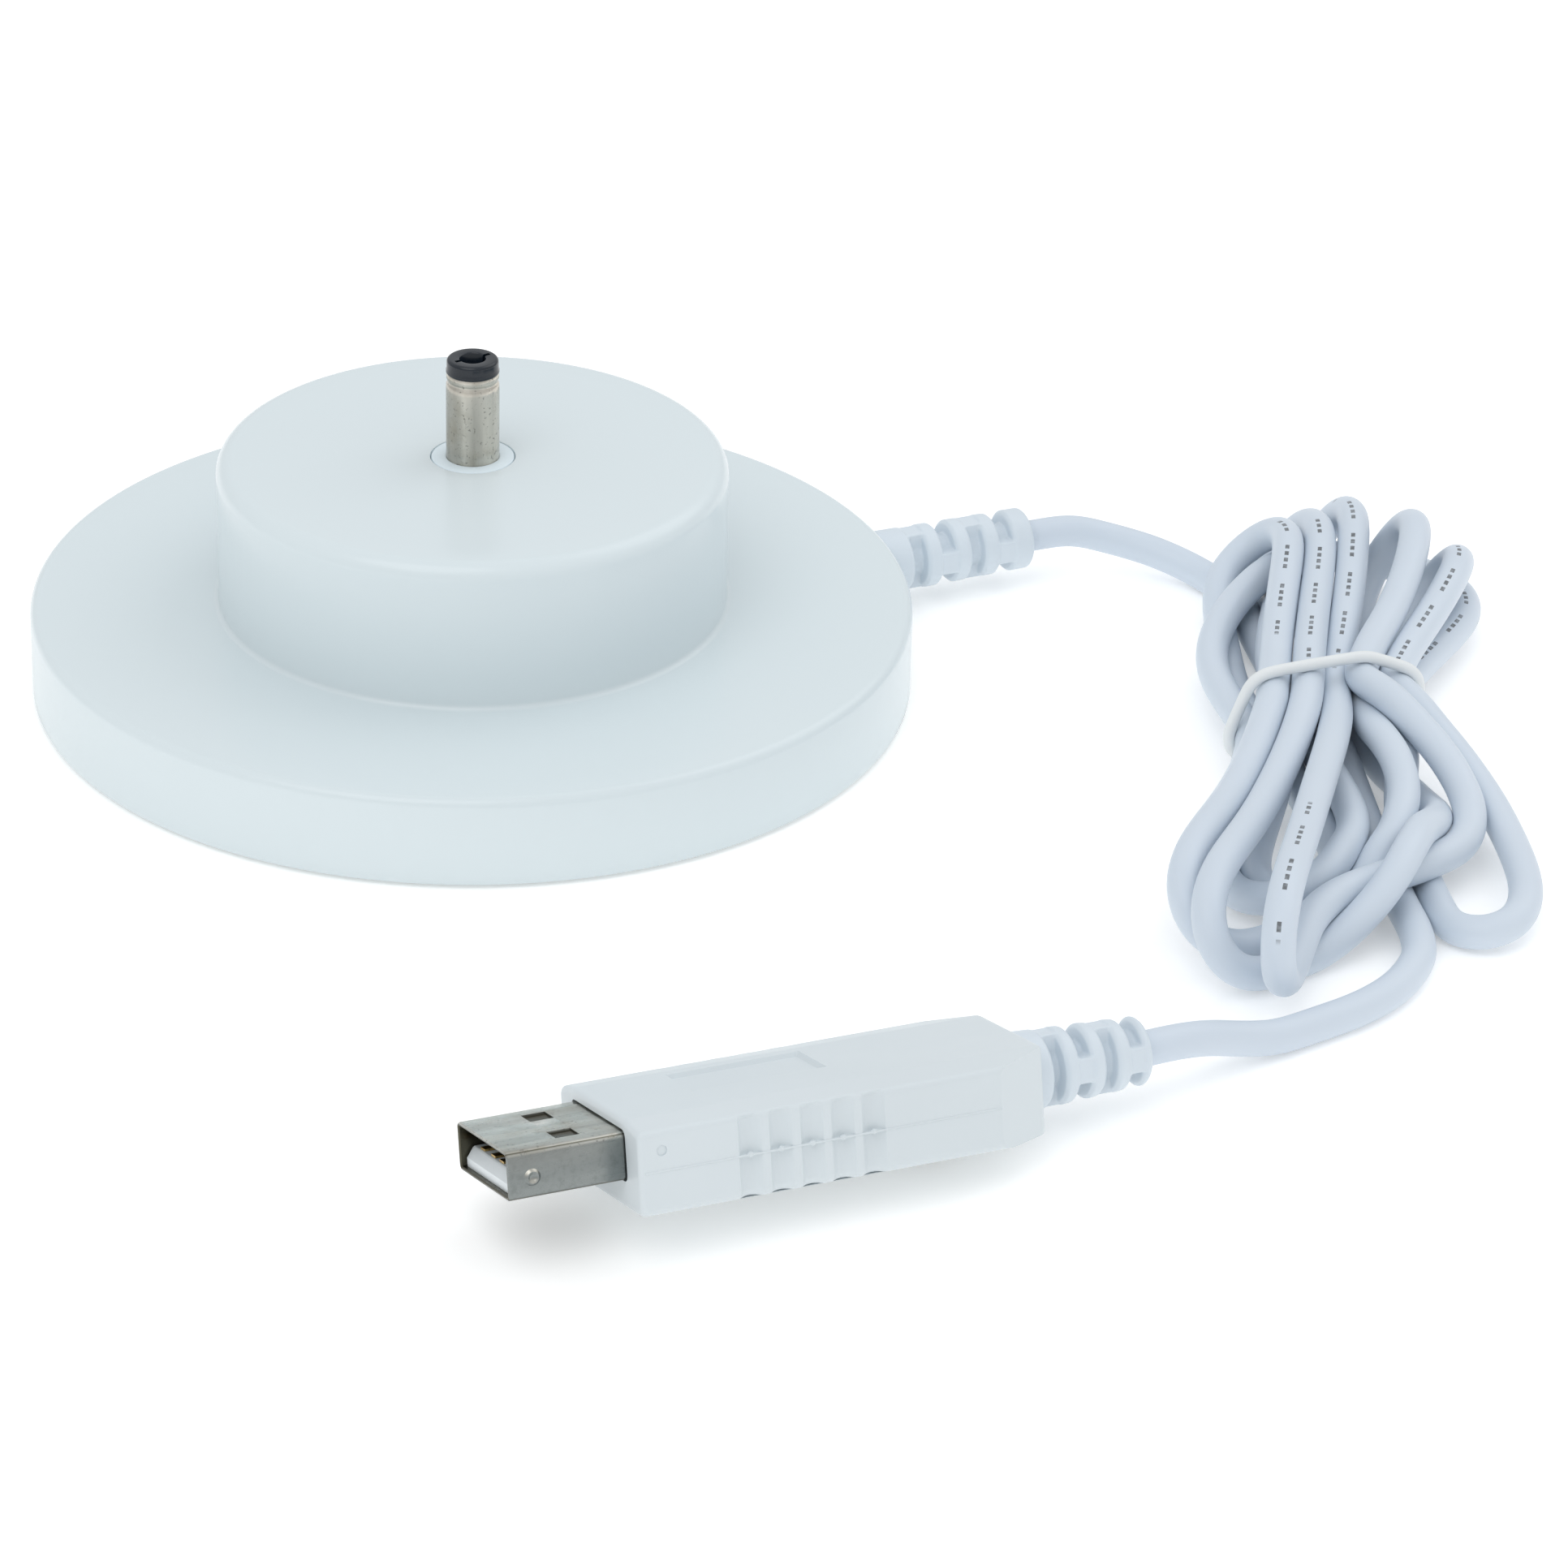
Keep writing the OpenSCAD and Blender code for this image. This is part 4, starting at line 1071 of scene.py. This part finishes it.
# Each row is what plastic() takes after the name. The shell's gloss is only slightly uneven, because a wider
# range of roughness draws faint contour lines across it.
PLASTICS = {
    "shell_plastic": ((0.69, 0.765, 0.79), 0.235, 1400, 0.05, 0.00002, 0.004, 9, 0.035),
    "plate_plastic": ((0.66, 0.72, 0.74), 0.5, 800, 0.2, 0.00004, 0.02, 25),
    "pad_rubber": ((0.55, 0.57, 0.58), 0.75, 500, 0.4, 0.00006, 0.05, 60),
    "collar_plastic": ((0.73, 0.83, 0.88), 0.4, 900, 0.12, 0.00003, 0.015, 60),
    "black_plastic": ((0.005, 0.01, 0.017), 0.2, 900, 0.15, 0.00003, 0.15, 300, 0.06),
    "inner_plastic": ((0.72, 0.7, 0.6), 0.5, 800, 0.15, 0.00003, 0.03, 80),
    "relief_pvc": ((0.66, 0.73, 0.79), 0.42, 700, 0.2, 0.00003, 0.02, 60),
    "tie_plastic": ((0.78, 0.81, 0.82), 0.45, 900, 0.2, 0.00003, 0.02, 90),
    "red_pvc": ((0.45, 0.02, 0.015), 0.4, 800, 0.15, 0.00003, 0.05, 90),
    "black_pvc": ((0.02, 0.02, 0.02), 0.4, 800, 0.15, 0.00003, 0.1, 90),
    "housing_plastic": ((0.665, 0.722, 0.75), 0.38, 750, 0.3, 0.00004, 0.015, 50),
    "tongue_plastic": ((0.74, 0.79, 0.81), 0.4, 700, 0.3, 0.00004, 0.04, 300),
    "board_glassfibre": ((0.03, 0.2, 0.08), 0.3, 900, 0.3, 0.00004, 0.2, 300),
    "ferrite": ((0.05, 0.05, 0.055), 0.6, 900, 0.4, 0.00005, 0.1, 200),
    "capacitor_ceramic": ((0.38, 0.26, 0.14), 0.4, 900, 0.2, 0.00003, 0.08, 200),
}
# each row is what metal() takes after the name
METALS = {
    "ballast_steel": ((0.36, 0.37, 0.39), (0.3, 0.29, 0.27), 0.5, (1, 1, 1), 300),
    "screw_steel": ((0.6, 0.6, 0.59), (0.5, 0.47, 0.4), 0.3, (1, 1, 1), 1200),
    "nickel": ((0.50, 0.475, 0.42), (0.36, 0.32, 0.25), 0.27, (1, 1, 0.12), 900, 0.6),
    "contact_brass": ((0.62, 0.44, 0.17), (0.35, 0.22, 0.08), 0.28, (0.1, 1, 1), 900),
}
MATERIALS = {name: plastic(name, *look).mat for name, look in PLASTICS.items()}
MATERIALS.update({name: metal(name, *look).mat for name, look in METALS.items()})
MATERIALS["shell_nickel"] = shell_metal("shell_nickel").mat
MATERIALS["cord_pvc"] = make_cord_material()


def dress(obj, finish):
    obj.data.materials.clear()
    obj.data.materials.append(MATERIALS[finish])


for finish, pieces in {"cord_pvc": [cord], "tie_plastic": [tie], "relief_pvc": [base_relief, plug_relief],
                       "housing_plastic": [housing_top, housing_low, flash], "shell_nickel": [usb_shell],
                       "tongue_plastic": [tongue], "shell_plastic": [base], "collar_plastic": [collar],
                       "nickel": [sleeve], "black_plastic": [tip]}.items():
    for piece in pieces:
        dress(piece, finish)

FINISH = {part["node"]: part["material_slot"] for part in frame["record"]["subparts"]}
for node, finish in FINISH.items():
    obj = bpy.data.objects.get(node)
    if obj is not None and obj.type == "MESH":
        for holder in obj.material_slots:
            holder.material = MATERIALS[finish]
        if not obj.material_slots:
            obj.data.materials.append(MATERIALS[finish])


# ---------------------------------------------------------------- floor and light
# how strongly the floor shines, which keeps it nearly white under the object
FLOOR_GLOW = 0.2


def make_stage():
    """A pale floor, lit from within like a light table, which leaves only faint shadows."""
    half = 6.0
    floor = mesh_object("floor", [(-half, -half, 0), (half, -half, 0), (half, half, 0), (-half, half, 0)],
                        [(0, 1, 2, 3)])
    m = Nodes("floor_white")
    clouds = m.noise(0.7, 2)
    m.set(Base_Color=m.mix(m.range(clouds, 0.3, 0.7, 0, 1), (0.985, 0.985, 0.985, 1), (1, 1, 1, 1)))
    m.set(Roughness=0.9, Specular_IOR_Level=0.1)
    m.set(Emission_Color=(1, 0.985, 0.95, 1), Emission_Strength=FLOOR_GLOW)
    floor.data.materials.append(m.mat)


def area_light(name, place, towards, size, power):
    """A soft round lamp that faces a point."""
    data = bpy.data.lights.new(name, "AREA")
    data.shape = "DISK"
    data.size = size
    data.energy = power
    light = link(bpy.data.objects.new(name, data))
    light.location = place
    light.rotation_euler = (Vector(towards) - Vector(place)).to_track_quat("-Z", "Y").to_euler()


def make_world():
    """A soft white room, brighter overhead than at the horizon."""
    world = bpy.data.worlds.new("room")
    bpy.context.scene.world = world
    world.use_nodes = True
    tree = world.node_tree
    back = tree.nodes["Background"]
    where = tree.nodes.new("ShaderNodeTexCoord").outputs["Generated"]
    split = tree.nodes.new("ShaderNodeSeparateXYZ")
    tree.links.new(where, split.inputs[0])
    shade = tree.nodes.new("ShaderNodeMapRange")
    tree.links.new(split.outputs["Z"], shade.inputs["Value"])
    for key, value in (("From Min", 0.0), ("From Max", 0.9), ("To Min", 0.66), ("To Max", 0.87)):
        shade.inputs[key].default_value = value
    tree.links.new(shade.outputs["Result"], back.inputs["Strength"])
    back.inputs["Color"].default_value = (0.97, 0.985, 1, 1)


make_stage()
make_world()
area_light("key", (-0.45, -0.35, 0.95), (0.02, -0.03, 0), 0.9, 2.2)
area_light("fill", (0.75, 0.1, 0.8), (0.03, -0.03, 0), 0.9, 1.5)
bpy.context.scene.view_settings.view_transform = "Standard"
